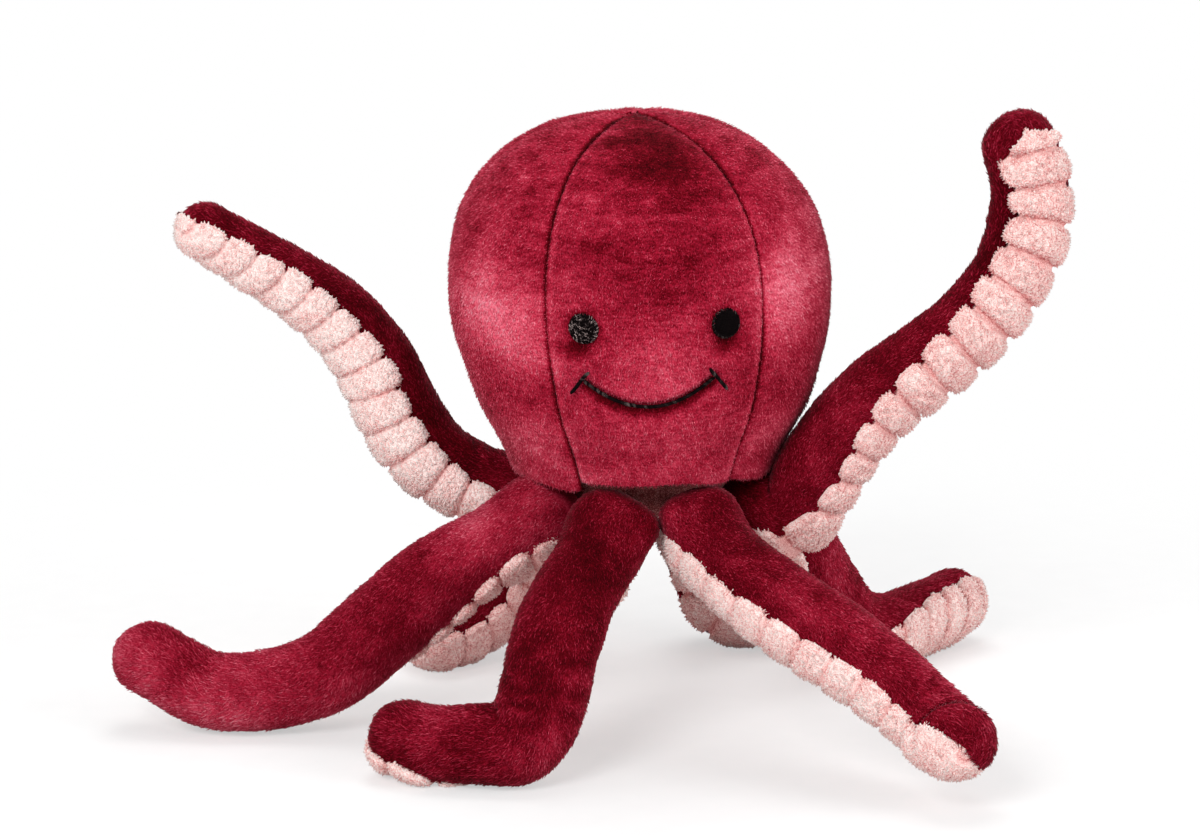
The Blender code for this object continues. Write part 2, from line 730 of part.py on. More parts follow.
def main():
    clear_scene()
    parts = bpy.data.collections.new("plush_octopus")
    cutters = bpy.data.collections.new("cutters")
    for collection in (parts, cutters):
        bpy.context.scene.collection.children.link(collection)
    middle = add_empty("octopus_middle", parts, None, Vector())
    for name, first, last, segments in head_panels():
        mesh = head_panel_mesh("head_panel_" + name, first, last, segments)
        add_object(mesh.name, mesh, PLUSH, parts, middle)
    add_object("head_stuffing", head_stuffing_mesh(), FIBRE, parts, middle)
    add_base_panel(parts, middle)
    add_eye("eye_left", -1, parts, middle)
    add_eye("eye_right", 1, parts, middle)
    add_smile(parts, middle)
    cutter = add_floor_cutter(cutters)
    corners = []
    for name in ROUTE_SHARES:
        corners += add_tentacle(name, parts, middle, cutter)
    # The whole model moves so that the origin is under the middle of its outline
    low = Vector((min(corner.x for corner in corners), min(corner.y for corner in corners), 0))
    high = Vector((max(corner.x for corner in corners), max(corner.y for corner in corners), 0))
    middle.location = -(low + high) / 2


main()
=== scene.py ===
import math

import bpy
import numpy as np
from mathutils import Matrix, Vector


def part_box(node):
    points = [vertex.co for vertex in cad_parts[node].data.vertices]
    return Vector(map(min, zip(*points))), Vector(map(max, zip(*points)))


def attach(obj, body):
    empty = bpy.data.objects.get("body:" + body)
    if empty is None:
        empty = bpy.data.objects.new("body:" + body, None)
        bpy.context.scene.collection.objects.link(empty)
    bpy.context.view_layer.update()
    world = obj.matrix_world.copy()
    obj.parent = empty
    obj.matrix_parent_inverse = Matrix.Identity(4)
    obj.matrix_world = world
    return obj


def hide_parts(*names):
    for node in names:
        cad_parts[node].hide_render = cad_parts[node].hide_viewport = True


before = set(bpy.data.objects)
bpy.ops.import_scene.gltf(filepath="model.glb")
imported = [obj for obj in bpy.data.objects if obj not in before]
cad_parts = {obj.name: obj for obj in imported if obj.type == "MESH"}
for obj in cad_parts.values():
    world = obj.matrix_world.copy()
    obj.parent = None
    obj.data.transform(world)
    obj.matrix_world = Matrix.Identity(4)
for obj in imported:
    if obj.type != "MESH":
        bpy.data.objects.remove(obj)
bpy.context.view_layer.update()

# ---------------------------------------------------------------------------
# Sizes shared with the CAD model, in metres
# ---------------------------------------------------------------------------
HEAD_HEIGHT = 0.1605
HEAD_RADIUS = 0.0844
HEM_RADIUS = 0.057
CROWN_HOLE_RADIUS = 0.0015
PANEL_PUFF = 0.0012
HEAD_LEAN_DEG = 1.7
FACE_HALF_ANGLE_DEG = 34.5
OTHER_PANELS = ("front_right", "back_right", "back", "back_left", "front_left")
FLARE_SHARES = ((0.0, 0.0), (0.1, 0.29), (0.2, 0.6), (0.3, 0.8), (0.41, 0.96), (0.51, 1.0))
DOME_SHARES = ((0.62, 0.985), (0.73, 0.925), (0.83, 0.8), (0.91, 0.625), (0.967, 0.38))
ROOT_COUNT = 8
ROOT_RING_RADIUS = 0.050
ROOT_RADIUS = 0.017
ROOT_HEIGHT = 0.094
ROOT_CLEARANCE = 0.0004
TENTACLE_LENGTH = 0.215
MIDDLE_RADIUS = 0.0188
TIP_RADIUS = 0.0158
MIDDLE_SHARE = 0.36
FLATTEN_SHARE = 0.05
RIB_PITCH = 0.0155
RIB_HEIGHT = 0.0017
HALF_SEGMENTS = 5
ROOT_RING_SHARES = (0.85, 0.5)
TIP_RING_DEGREES = (35, 65)
FLOOR_FLAT_DEPTH = 0.0005
BASE_PANEL_SAG = 0.003
EYE_RADIUS = 0.0065
EYE_HEIGHT = 0.0789
EYE_ANGLE_DEG = 21.3
FACE_ASIDE = -0.0011
FACE_TILT_DEG = 1.3
SMILE_ANGLE_DEG = 20.2
SMILE_CORNER_HEIGHT = 0.0555
SMILE_DROP = 0.0115
SMILE_ASIDE = -0.0034
TICK_LENGTH = 0.014
TICK_SLANT_DEG = 43.0
ROUTE_STEPS = 12
TIP_FILL_SHARES = {"raised_left": 0.8}
ROUTE_SHARES = {
    "front_centre": (-1, (
        (-0.04, -0.075, 0.88, (-0.2, -0.5, 0.85)),
        (-0.095, -0.155, 0.71, (-0.25, -0.85, 0.5)),
        (-0.135, -0.22, 0.48, (-0.2, -1.0, 0.3)),
        (-0.165, -0.255, 0.23, (-0.1, -0.95, 0.4)),
        (-0.215, -0.26, 0.04, (0.0, -0.8, 0.6)),
        (-0.3, -0.245, 0.0, (0.0, -0.68, 0.72)),
        (-0.39, -0.21, 0.0, (0.0, -0.6, 0.8)),
        (-0.48, -0.145, 0.05, (-0.1, -0.55, 0.83)))),
    "front_right": (1, (
        (0.035, -0.075, 0.91, (0.25, -0.3, 0.9)),
        (0.085, -0.15, 0.81, (0.35, -0.35, 0.87)),
        (0.155, -0.22, 0.69, (0.4, -0.3, 0.87)),
        (0.235, -0.28, 0.56, (0.4, -0.3, 0.87)),
        (0.32, -0.345, 0.41, (0.4, -0.32, 0.86)),
        (0.39, -0.4, 0.27, (0.35, -0.4, 0.84)),
        (0.43, -0.465, 0.18, (0.25, -0.55, 0.75)),
        (0.44, -0.55, 0.2, (0.25, -0.8, 0.6)))),
    "raised_right": (3, (
        (0.075, -0.03, 1.01, (-0.35, -0.1, 0.9)),
        (0.123, -0.052, 1.25, (-0.45, -0.3, 0.8)),
        (0.178, -0.072, 1.54, (-0.5, -0.25, 0.75)),
        (0.255, -0.093, 1.79, (-0.5, 0.05, 0.8)),
        (0.345, -0.112, 2.0, (-0.5, 0.3, 0.72)),
        (0.435, -0.125, 2.25, (-0.6, 0.45, 0.55)),
        (0.505, -0.135, 2.57, (-0.6, 0.62, 0.3)),
        (0.527, -0.14, 2.96, (-0.5, 0.78, 0.2)),
        (0.477, -0.165, 3.4, (-0.35, 0.85, 0.35)))),
    "rear_right": (5, (
        (0.07, 0.03, 0.84, (0.45, -0.1, 0.85)),
        (0.135, 0.07, 0.6, (0.65, -0.3, 0.65)),
        (0.195, 0.105, 0.33, (0.7, -0.3, 0.65)),
        (0.26, 0.135, 0.1, (0.5, -0.05, 0.85)),
        (0.335, 0.175, 0.0, (0.0, 0.35, 0.93)),
        (0.415, 0.24, 0.0, (-0.3, 0.58, 0.75)),
        (0.49, 0.305, 0.03, (-0.33, 0.6, 0.72)),
        (0.565, 0.36, 0.12, (-0.37, 0.55, 0.75)))),
    "rear_centre": (7, (
        (0.03, 0.09, 0.88, (0.0, 0.5, 0.85)),
        (0.062, 0.18, 0.69, (-0.2, 0.8, 0.55)),
        (0.09, 0.23, 0.42, (-0.3, 0.9, 0.35)),
        (0.125, 0.235, 0.16, (-0.3, 0.9, 0.3)),
        (0.185, 0.215, 0.02, (-0.15, 0.9, 0.3)),
        (0.26, 0.21, 0.0, (-0.05, 0.9, 0.4)),
        (0.34, 0.215, 0.0, (0.0, 0.85, 0.5)),
        (0.42, 0.25, 0.0, (0.0, 0.8, 0.6)))),
    "rear_left": (-7, (
        (-0.02, 0.085, 0.9, (-0.1, 0.4, 0.9)),
        (-0.055, 0.17, 0.79, (-0.3, 0.4, 0.8)),
        (-0.105, 0.225, 0.58, (-0.55, 0.2, 0.75)),
        (-0.16, 0.225, 0.32, (-0.7, 0.0, 0.65)),
        (-0.225, 0.19, 0.11, (-0.65, -0.15, 0.7)),
        (-0.3, 0.135, 0.0, (-0.6, -0.2, 0.75)),
        (-0.38, 0.075, 0.0, (-0.55, -0.2, 0.8)))),
    "raised_left": (-5, (
        (-0.073, 0.03, 1.01, (0.2, -0.05, 0.95)),
        (-0.14, 0.055, 1.08, (0.4, 0.0, 0.9)),
        (-0.22, 0.075, 1.24, (0.5, 0.1, 0.8)),
        (-0.28, 0.095, 1.49, (0.6, 0.1, 0.75)),
        (-0.33, 0.115, 1.79, (0.55, 0.1, 0.8)),
        (-0.41, 0.135, 2.06, (0.45, 0.1, 0.9)),
        (-0.5, 0.145, 2.26, (0.35, 0.1, 0.9)),
        (-0.6, 0.145, 2.44, (0.35, 0.05, 0.9)),
        (-0.725, 0.135, 2.66, (0.35, 0.0, 0.9)))),
    "front_left": (-3, (
        (-0.08, -0.02, 0.9, (-0.2, -0.3, 0.95)),
        (-0.165, -0.03, 0.78, (-0.1, -0.6, 0.75)),
        (-0.25, -0.025, 0.6, (0.0, -0.75, 0.65)),
        (-0.35, -0.015, 0.35, (0.0, -0.78, 0.6)),
        (-0.45, -0.01, 0.12, (0.0, -0.8, 0.58)),
        (-0.56, -0.005, 0.0, (0.0, -0.8, 0.58)),
        (-0.68, 0.01, 0.01, (0.0, -0.8, 0.58)),
        (-0.775, 0.04, 0.15, (0.05, -0.8, 0.58)),
        (-0.87, 0.07, 0.29, (0.1, -0.75, 0.6)))),
}
HEM_HEIGHT = ROOT_HEIGHT + ROOT_RADIUS + ROOT_CLEARANCE
NECK_RADIUS = ROOT_RING_RADIUS - ROOT_RADIUS - ROOT_CLEARANCE
NECK_BOTTOM = ROOT_HEIGHT - ROOT_RADIUS / 3

low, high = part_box("base_panel")
MIDDLE = np.array([(low.x + high.x) / 2, (low.y + high.y) / 2, 0.0])

# How the fabrics stand on the CAD surfaces
PLUSH_SINK = 0.0009
HEAD_SINK = 0.0020
HEAD_PILE = 0.0016
LIMB_PILE = 0.0034
FLOOR_CLEARANCE = 0.0003


# ---------------------------------------------------------------------------
# Noise and small helpers
# ---------------------------------------------------------------------------
def hashed(cell, seed):
    """A value from 0 to 1 for each row of whole numbers."""
    x = cell[..., 0].astype(np.uint32) * np.uint32(374761393)
    y = cell[..., 1].astype(np.uint32) * np.uint32(668265263)
    z = cell[..., 2].astype(np.uint32) * np.uint32(2147483647)
    h = x + y + z + np.uint32(seed * 7919 + 1013)
    h = (h ^ (h >> np.uint32(13))) * np.uint32(1274126177)
    h = (h ^ (h >> np.uint32(16))) * np.uint32(2246822519)
    return ((h ^ (h >> np.uint32(15))) & np.uint32(0xFFFFFF)).astype(float) / 0xFFFFFF


def noise(points, size, seed=0):
    """Smooth value noise from -1 to 1 whose features are about that size."""
    p = np.asarray(points, float) / size
    base = np.floor(p)
    f = p - base
    f = f * f * (3 - 2 * f)
    cell = base.astype(np.int64)
    total = np.zeros(p.shape[:-1])
    for dx in (0, 1):
        for dy in (0, 1):
            for dz in (0, 1):
                corner = cell + np.array([dx, dy, dz])
                weight = (f[..., 0] if dx else 1 - f[..., 0]) * (f[..., 1] if dy else 1 - f[..., 1])
                weight = weight * (f[..., 2] if dz else 1 - f[..., 2])
                total += weight * hashed(corner, seed)
    return total * 2 - 1


def unit(v):
    return v / np.maximum(np.linalg.norm(v, axis=-1, keepdims=True), 1e-12)


def smoothstep(x, a, b):
    t = np.clip((np.asarray(x, float) - a) / (b - a), 0, 1)
    return t * t * (3 - 2 * t)


def grid_normals(p, closed=False):
    """Normals of a grid of points (rows, columns, 3), columns wrapped if closed."""
    du = np.gradient(p, axis=0)
    if closed:
        dv = (np.roll(p, -1, axis=1) - np.roll(p, 1, axis=1)) / 2
    else:
        dv = np.gradient(p, axis=1)
    return unit(np.cross(du, dv))


def grid_quads(rows, columns, start=0, closed=False):
    r = np.arange(rows - 1)[:, None]
    c = np.arange(columns if closed else columns - 1)[None, :]
    n = (c + 1) % columns
    a = start + r * columns + c
    b = start + r * columns + n
    return np.stack([a, b, b + columns, a + columns], -1).reshape(-1, 4)


def oriented(grid, outward):
    normals = grid_normals(grid)
    quads = grid_quads(grid.shape[0], grid.shape[1])
    if np.mean(np.sum(normals * outward, -1)) < 0:
        return -normals, quads
    return normals, quads[:, ::-1]


class Shell:
    """A mesh that is put together from several lots of points and faces."""

    def __init__(self):
        self.points = []
        self.tris = []
        self.normals = []
        self.strand = []
        self.tone = []
        self.count = 0

    def add(self, points, faces, normals, strand=None, tone=0.5):
        points = np.asarray(points, float).reshape(-1, 3)
        faces = np.asarray(faces)
        if faces.shape[1] == 4:
            faces = np.concatenate([faces[:, (0, 1, 2)], faces[:, (0, 2, 3)]])
        n = len(points)
        self.points.append(points)
        self.tris.append(faces + self.count)
        self.normals.append(np.asarray(normals, float).reshape(-1, 3))
        self.strand.append(np.zeros((n, 3)) if strand is None else strand)
        self.tone.append(np.broadcast_to(np.asarray(tone, float).reshape(-1), (n,)))
        self.count += n

    def build(self, name, material, body, replaces=()):
        points = np.concatenate(self.points)
        tris = np.concatenate(self.tris)
        mesh = bpy.data.meshes.new(name)
        mesh.vertices.add(len(points))
        mesh.vertices.foreach_set("co", points.astype(np.float32).ravel())
        mesh.loops.add(len(tris) * 3)
        mesh.loops.foreach_set("vertex_index", tris.astype(np.int32).ravel())
        mesh.polygons.add(len(tris))
        mesh.polygons.foreach_set("loop_start", np.arange(0, len(tris) * 3, 3, dtype=np.int32))
        mesh.update(calc_edges=True)
        for key, kind, values in (("strand", "FLOAT_VECTOR", np.concatenate(self.strand)),
                                  ("tone", "FLOAT", np.concatenate(self.tone))):
            attribute = mesh.attributes.new(key, kind, "POINT")
            field = "vector" if kind == "FLOAT_VECTOR" else "value"
            attribute.data.foreach_set(field, values.astype(np.float32).ravel())
        mesh.shade_smooth()
        mesh.normals_split_custom_set_from_vertices(np.concatenate(self.normals).tolist())
        mesh.materials.append(material)
        thing = bpy.data.objects.new(name, mesh)
        bpy.context.scene.collection.objects.link(thing)
        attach(thing, body)
        if replaces:
            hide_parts(*replaces)
        return thing


def scatter_on_grid(p, spacing, seed):
    """Random spots on a grid surface: cell index and share within it, even by area."""
    e1 = p[1:, :-1] - p[:-1, :-1]
    e2 = p[:-1, 1:] - p[:-1, :-1]
    e3 = p[1:, 1:] - p[1:, :-1]
    area = (np.linalg.norm(np.cross(e1, e2), axis=-1) + np.linalg.norm(np.cross(e1, e3), axis=-1)) / 2
    flat = area.ravel()
    rng = np.random.default_rng(seed)
    wanted = flat.sum() / spacing ** 2
    # stratified along the running total of area, with the order of cells kept
    edges = np.concatenate([[0], np.cumsum(flat)])
    marks = (np.arange(int(wanted)) + rng.random(int(wanted))) / int(wanted) * edges[-1]
    cell = np.clip(np.searchsorted(edges, marks) - 1, 0, len(flat) - 1)
    rows, columns = area.shape
    return cell // columns, cell % columns, rng.random(len(cell)), rng.random(len(cell)), rng


def at(grid, r, c, u, v):
    """Values of a grid at spots within its cells."""
    shape = u.shape + (1,) * (grid.ndim - 2)
    u, v = u.reshape(shape), v.reshape(shape)
    return (grid[r, c] * (1 - u) * (1 - v) + grid[r + 1, c] * u * (1 - v)
            + grid[r, c + 1] * (1 - u) * v + grid[r + 1, c + 1] * u * v)


def add_tufts(shell, roots, normals, flow, length, width, rise, tone, rng, painted_shades=(-0.12, 0.03, 0.17)):
    """A closed four-faced tuft at each root, bent over along the flow of the pile."""
    n = len(roots)
    side = unit(np.cross(normals, flow))
    flow = unit(np.cross(side, normals))
    reach = length[:, None]
    cos, sin = np.cos(rise)[:, None], np.sin(rise)[:, None]
    tip = roots + (flow * cos + normals * sin) * reach
    ridge = roots + (flow * cos * 0.42 + normals * (sin * 0.45 + 0.10)) * reach
    half = side * (width / 2)[:, None]
    sunk = roots - normals * (width * 0.5)[:, None]
    points = np.stack([sunk - half, sunk + half, ridge, tip], 1)
    index = np.arange(n)[:, None] * 4
    faces = np.concatenate([index + np.array([[1, 0, 2]]), index + np.array([[2, 0, 3]]),
                            index + np.array([[1, 2, 3]]), index + np.array([[0, 1, 3]])])
    tilt = 0.30
    middle = unit(normals + flow * 0.10)
    shaded = np.stack([unit(normals - side * tilt), unit(normals + side * tilt), middle, middle], 1)
    ids = rng.random(n)
    # hairs run along each tuft: across it, along it, and its own number
    comb = np.zeros((n, 4, 3))
    comb[:, 1, 0] = 2.2
    comb[:, 2:, 0] = 1.1
    comb[:, 2, 1] = 0.4
    comb[:, 3, 1] = 1.0
    comb[:, :, 2] = ids[:, None]
    # painted shade at each tuft's sunk base, painted light along its ridge and more at its tip
    light = np.clip(tone[:, None] + np.array([painted_shades[0], painted_shades[0], painted_shades[1], painted_shades[2]]), 0, 1)
    shell.add(points.reshape(-1, 3), faces, shaded.reshape(-1, 3), comb.reshape(-1, 3), light.ravel())


def add_nubs(shell, roots, normals, flow, length, width, height, tone, rng, painted_shades):
    """A low rounded nub at each root, longer along the flow: a square pyramid shaded as a dome."""
    n = len(roots)
    side = unit(np.cross(normals, flow))
    flow = unit(np.cross(side, normals))
    long, wide, tall = (x[:, None] for x in (length / 2, width / 2, height))
    low = roots - normals * tall * 0.25
    top = roots + normals * tall + flow * long * 0.25
    points = np.stack([low + flow * long, low + side * wide, low - flow * long, low - side * wide, top], 1)
    index = np.arange(n)[:, None] * 5
    faces = np.concatenate([index + np.array([[0, 1, 4]]), index + np.array([[1, 2, 4]]),
                            index + np.array([[2, 3, 4]]), index + np.array([[3, 0, 4]]),
                            index + np.array([[2, 1, 0]]), index + np.array([[3, 2, 0]])])
    spread = 1.5
    shaded = np.stack([unit(normals + flow * spread), unit(normals + side * spread),
                       unit(normals - flow * spread), unit(normals - side * spread), normals], 1)
    comb = np.zeros((n, 5, 3))
    comb[:, :, 2] = rng.random(n)[:, None]
    # painted shade round each nub's base and painted light on its top
    light = np.clip(tone[:, None] + np.array([painted_shades[0]] * 4 + [painted_shades[1]]), 0, 1)
    shell.add(points.reshape(-1, 3), faces, shaded.reshape(-1, 3), comb.reshape(-1, 3), light.ravel())


# ---------------------------------------------------------------------------
# Materials
# ---------------------------------------------------------------------------
class Nodes:
    def __init__(self, name):
        self.material = bpy.data.materials.new(name)
        self.material.use_nodes = True
        self.tree = self.material.node_tree
        self.shader = self.tree.nodes["Principled BSDF"]
        self.shader.inputs["Metallic"].default_value = 0.0

    def new(self, kind, **settings):
        node = self.tree.nodes.new(kind)
        for key, value in settings.items():
            setattr(node, key, value)
        return node

    def link(self, a, b):
        self.tree.links.new(a, b)

    def math(self, operation, a, b=None, c=None, clamp=False):
        node = self.new("ShaderNodeMath", operation=operation, use_clamp=clamp)
        for index, value in enumerate((a, b, c)):
            if value is None:
                continue
            if isinstance(value, (int, float)):
                node.inputs[index].default_value = value
            else:
                self.link(value, node.inputs[index])
        return node.outputs[0]

    def attribute(self, name, output="Fac"):
        return self.new("ShaderNodeAttribute", attribute_name=name).outputs[output]

    def noise(self, scale, detail=2.0, vector=None, roughness=0.5, distortion=0.0):
        node = self.new("ShaderNodeTexNoise")
        node.inputs["Scale"].default_value = scale
        node.inputs["Detail"].default_value = detail
        node.inputs["Roughness"].default_value = roughness
        node.inputs["Distortion"].default_value = distortion
        if vector is None:
            vector = self.new("ShaderNodeTexCoord").outputs["Object"]
        self.link(vector, node.inputs["Vector"])
        return node.outputs["Fac"]

    def ramp(self, value, stops):
        node = self.new("ShaderNodeValToRGB")
        ramp = node.color_ramp
        while len(ramp.elements) < len(stops):
            ramp.elements.new(0.5)
        for element, (place, colour) in zip(ramp.elements, stops):
            element.position = place
            element.color = (*colour, 1.0)
        self.link(value, node.inputs["Fac"])
        return node.outputs["Color"]

    def bump(self, height, distance, strength=1.0):
        node = self.new("ShaderNodeBump")
        node.inputs["Distance"].default_value = distance
        node.inputs["Strength"].default_value = strength
        self.link(height, node.inputs["Height"])
        self.link(node.outputs["Normal"], self.shader.inputs["Normal"])

    def sheen(self, weight, roughness, tint):
        self.shader.inputs["Sheen Weight"].default_value = weight
        self.shader.inputs["Sheen Roughness"].default_value = roughness
        self.shader.inputs["Sheen Tint"].default_value = (*tint, 1.0)


def plush_material(name, brightness, lines=0.0):
    """Crimson pile: painted shade between the tufts, painted light towards their tips, painted glints on a few tufts,
    streaked by its hairs.
    """
    m = Nodes(name)
    strand = m.new("ShaderNodeAttribute", attribute_name="strand").outputs["Vector"]
    split = m.new("ShaderNodeSeparateXYZ")
    m.link(strand, split.inputs[0])
    across, along, ids = split.outputs
    # fine hairs, combed along the pile
    hair = m.new("ShaderNodeCombineXYZ")
    m.link(across, hair.inputs[0])
    m.link(along, hair.inputs[1])
    m.link(m.math("MULTIPLY", ids, 400.0), hair.inputs[2])
    streak = m.noise(1.6, 2.0, hair.outputs[0], 0.6)
    speckle = m.noise(1250.0, 2.0)
    tone = m.attribute("tone")
    if lines:
        # fine brush lines, level across the fabric
        squeezed = m.new("ShaderNodeVectorMath", operation="MULTIPLY")
        m.link(m.new("ShaderNodeTexCoord").outputs["Object"], squeezed.inputs[0])
        squeezed.inputs[1].default_value = (260.0, 260.0, 1000.0)
        brushed = m.math("SUBTRACT", m.noise(1.0, 2.0, squeezed.outputs[0], 0.6), 0.5)
        tone = m.math("MULTIPLY_ADD", brushed, lines, tone)
    # painted glints: a few tufts are painted much lighter
    tuft = m.math("MULTIPLY", m.math("POWER", ids, 2.0), 0.26)
    grain = m.math("MULTIPLY_ADD", streak, 0.60, m.math("MULTIPLY", speckle, 0.50))
    value = m.math("ADD", m.math("ADD", tone, -0.645), m.math("ADD", tuft, grain))
    k = brightness
    colour = m.ramp(value, (
        (0.0, (0.038 * k, 0.0003 * k, 0.0016 * k)), (0.22, (0.128 * k, 0.0009 * k, 0.0056 * k)),
        (0.42, (0.315 * k, 0.0075 * k, 0.027 * k)), (0.60, (0.53 * k, 0.036 * k, 0.075 * k)),
        (0.80, (0.78 * k, 0.125 * k, 0.19 * k)), (1.0, (0.95 * k, 0.34 * k, 0.42 * k))))
    m.link(colour, m.shader.inputs["Base Color"])
    m.shader.inputs["Roughness"].default_value = 0.85
    m.shader.inputs["Specular IOR Level"].default_value = 0.03
    m.sheen(0.22, 0.30, (1.0, 0.36, 0.42))
    m.bump(m.math("MULTIPLY_ADD", speckle, 0.5, streak), 0.0003, 0.4)
    return m.material


def sherpa_material():
    """Pale pink curls, with painted light on their crests and painted rosy shade between them."""
    m = Nodes("pink_sherpa_curls")
    split = m.new("ShaderNodeSeparateXYZ")
    m.link(m.new("ShaderNodeAttribute", attribute_name="strand").outputs["Vector"], split.inputs[0])
    place = m.new("ShaderNodeTexCoord").outputs["Object"]
    sway = m.new("ShaderNodeTexNoise")
    sway.inputs["Scale"].default_value = 900.0
    m.link(place, sway.inputs["Vector"])
    bent = m.new("ShaderNodeVectorMath", operation="MULTIPLY_ADD")
    m.link(sway.outputs["Color"], bent.inputs[0])
    bent.inputs[1].default_value = (0.0011, 0.0011, 0.0011)
    m.link(place, bent.inputs[2])
    # painted rosy shade along the edges between the curls
    cell = m.new("ShaderNodeTexVoronoi", feature="DISTANCE_TO_EDGE")
    cell.inputs["Scale"].default_value = 950.0
    m.link(bent.outputs[0], cell.inputs["Vector"])
    curl = m.math("MINIMUM", m.math("MULTIPLY", cell.outputs["Distance"], 1.6), 0.32)
    fine = m.noise(2300.0, 2.0, None, 0.6)
    # the tone attribute brings each limb's painted light level, painted shade in the grooves, under the ribs and on
    # downward-facing pile, and painted light on the nub tops
    depth = m.attribute("tone")
    value = m.math("MULTIPLY_ADD", depth, 0.80, m.math("MULTIPLY_ADD", curl, 0.75, -0.10))
    value = m.math("MULTIPLY_ADD", fine, 0.26, value)
    value = m.math("MULTIPLY_ADD", split.outputs[2], 0.16, value)
    colour = m.ramp(value, (
        (0.10, (0.36, 0.065, 0.065)), (0.30, (0.72, 0.27, 0.26)), (0.50, (0.93, 0.55, 0.52)),
        (0.70, (0.99, 0.76, 0.72)), (0.95, (1.0, 0.90, 0.86))))
    m.link(colour, m.shader.inputs["Base Color"])
    m.shader.inputs["Roughness"].default_value = 0.95
    m.shader.inputs["Specular IOR Level"].default_value = 0.08
    m.sheen(0.05, 0.5, (1.0, 0.80, 0.77))
    height = m.math("MULTIPLY_ADD", fine, 0.4, curl)
    m.bump(height, 0.0006, 0.7)
    return m.material


def thread_material(name, glint):
    """Black rayon thread: each strand has its own grey, the lightest strands painted as glints, and a soft gleam along
    it.
    """
    m = Nodes(name)
    strand = m.new("ShaderNodeAttribute", attribute_name="strand").outputs["Vector"]
    split = m.new("ShaderNodeSeparateXYZ")
    m.link(strand, split.inputs[0])
    twist = m.math("SINE", m.math("MULTIPLY_ADD", split.outputs[1], 55.0, m.math("MULTIPLY", split.outputs[0], 6.0)))
    fuzz = m.noise(4200.0, 2.0)
    value = m.math("MULTIPLY_ADD", split.outputs[2], 0.5, m.math("MULTIPLY", fuzz, 0.5))
    # painted glints: the top of the ramp, scaled by glint, paints the lightest strands grey to near white
    colour = m.ramp(value, ((0.2, (0.0012, 0.0006, 0.0007)), (0.50, (0.004, 0.002, 0.0023)),
                            (0.66, (0.045 * glint, 0.030 * glint, 0.030 * glint)),
                            (0.78, (0.55 * glint, 0.42 * glint, 0.40 * glint))))
    m.link(colour, m.shader.inputs["Base Color"])
    m.shader.inputs["Roughness"].default_value = 0.7
    m.shader.inputs["Specular IOR Level"].default_value = 0.03
    m.bump(m.math("MULTIPLY_ADD", fuzz, 0.6, m.math("MULTIPLY", twist, 0.3)), 0.00012, 0.8)
    return m.material


HEAD_PLUSH = plush_material("crimson_head_pile", 1.0, 0.38)
LIMB_PLUSH = plush_material("crimson_limb_pile", 0.86)
SHERPA = sherpa_material()
THREAD_PAINTED_GLINTS = thread_material("black_thread_painted_glints", 1.0)
THREAD_SATIN = thread_material("black_thread_satin", 0.25)


# ---------------------------------------------------------------------------
# The head's surface
# ---------------------------------------------------------------------------
def head_profile():
    """Fine (radius, height above the hem) pairs from the hem to the crown."""
    rows = [(HEM_RADIUS + (HEAD_RADIUS - HEM_RADIUS) * f, HEAD_HEIGHT * h) for h, f in FLARE_SHARES]
    rows += [(HEAD_RADIUS * f, HEAD_HEIGHT * h) for h, f in DOME_SHARES]
    rows.append((CROWN_HOLE_RADIUS, HEAD_HEIGHT))
    ends = [rows[0]] + rows + [(-rows[-2][0], rows[-2][1])]
    fine = []
    for a, b, c, d in zip(ends, ends[1:], ends[2:], ends[3:]):
        for step in range(10):
            t = step / 10
            fine.append([((2 * q) + (r - p) * t + (2 * p - 5 * q + 4 * r - s) * t * t
                          + (3 * q - p - 3 * r + s) * t ** 3) / 2 for p, q, r, s in zip(a, b, c, d)])
    fine.append(list(rows[-1]))
    return np.array(fine)


PROFILE = head_profile()
PROFILE_RUN = np.concatenate([[0], np.cumsum(np.linalg.norm(np.diff(PROFILE, axis=0), axis=1))])
LEAN = math.tan(math.radians(HEAD_LEAN_DEG))
FACE_HALF = math.radians(FACE_HALF_ANGLE_DEG)


def profile_at(run):
    """Radius, height and outward slope at a distance along the profile from the hem."""
    radius = np.interp(run, PROFILE_RUN, PROFILE[:, 0])
    height = np.interp(run, PROFILE_RUN, PROFILE[:, 1])
    step = 0.0015
    ra, rb = (np.interp(run + s, PROFILE_RUN, PROFILE[:, 0]) for s in (-step, step))
    ha, hb = (np.interp(run + s, PROFILE_RUN, PROFILE[:, 1]) for s in (-step, step))
    return radius, height, np.arctan2(ra - rb, hb - ha)


def run_at_height(height):
    return np.interp(height, PROFILE[:, 1], PROFILE_RUN)


def head_surface(run, angle, offset):
    """Points of the head's surface at distances along the profile and angles from the face."""
    radius, height, slope = profile_at(run)
    out = np.maximum(radius + offset * np.cos(slope), CROWN_HOLE_RADIUS / 3)
    rise = height + offset * np.sin(slope)
    return np.stack([out * np.sin(angle) - LEAN * rise + MIDDLE[0], -out * np.cos(angle) + MIDDLE[1],
                     HEM_HEIGHT + rise], -1)


def head_panels():
    panels = [("face", -FACE_HALF, FACE_HALF)]
    width = (2 * math.pi - 2 * FACE_HALF) / len(OTHER_PANELS)
    for index, name in enumerate(OTHER_PANELS):
        first = FACE_HALF + width * index
        panels.append((name, first, first + width))
    return panels


SMILE_REACH = math.radians(SMILE_ANGLE_DEG) * HEAD_RADIUS
FACE_TILT = math.tan(math.radians(FACE_TILT_DEG))


def face_coordinates(run, angle):
    """Arc length across the face and height above the hem, with its tilt and shift taken out."""
    across = angle * HEAD_RADIUS - FACE_ASIDE
    return across, profile_at(run)[1] - across * FACE_TILT


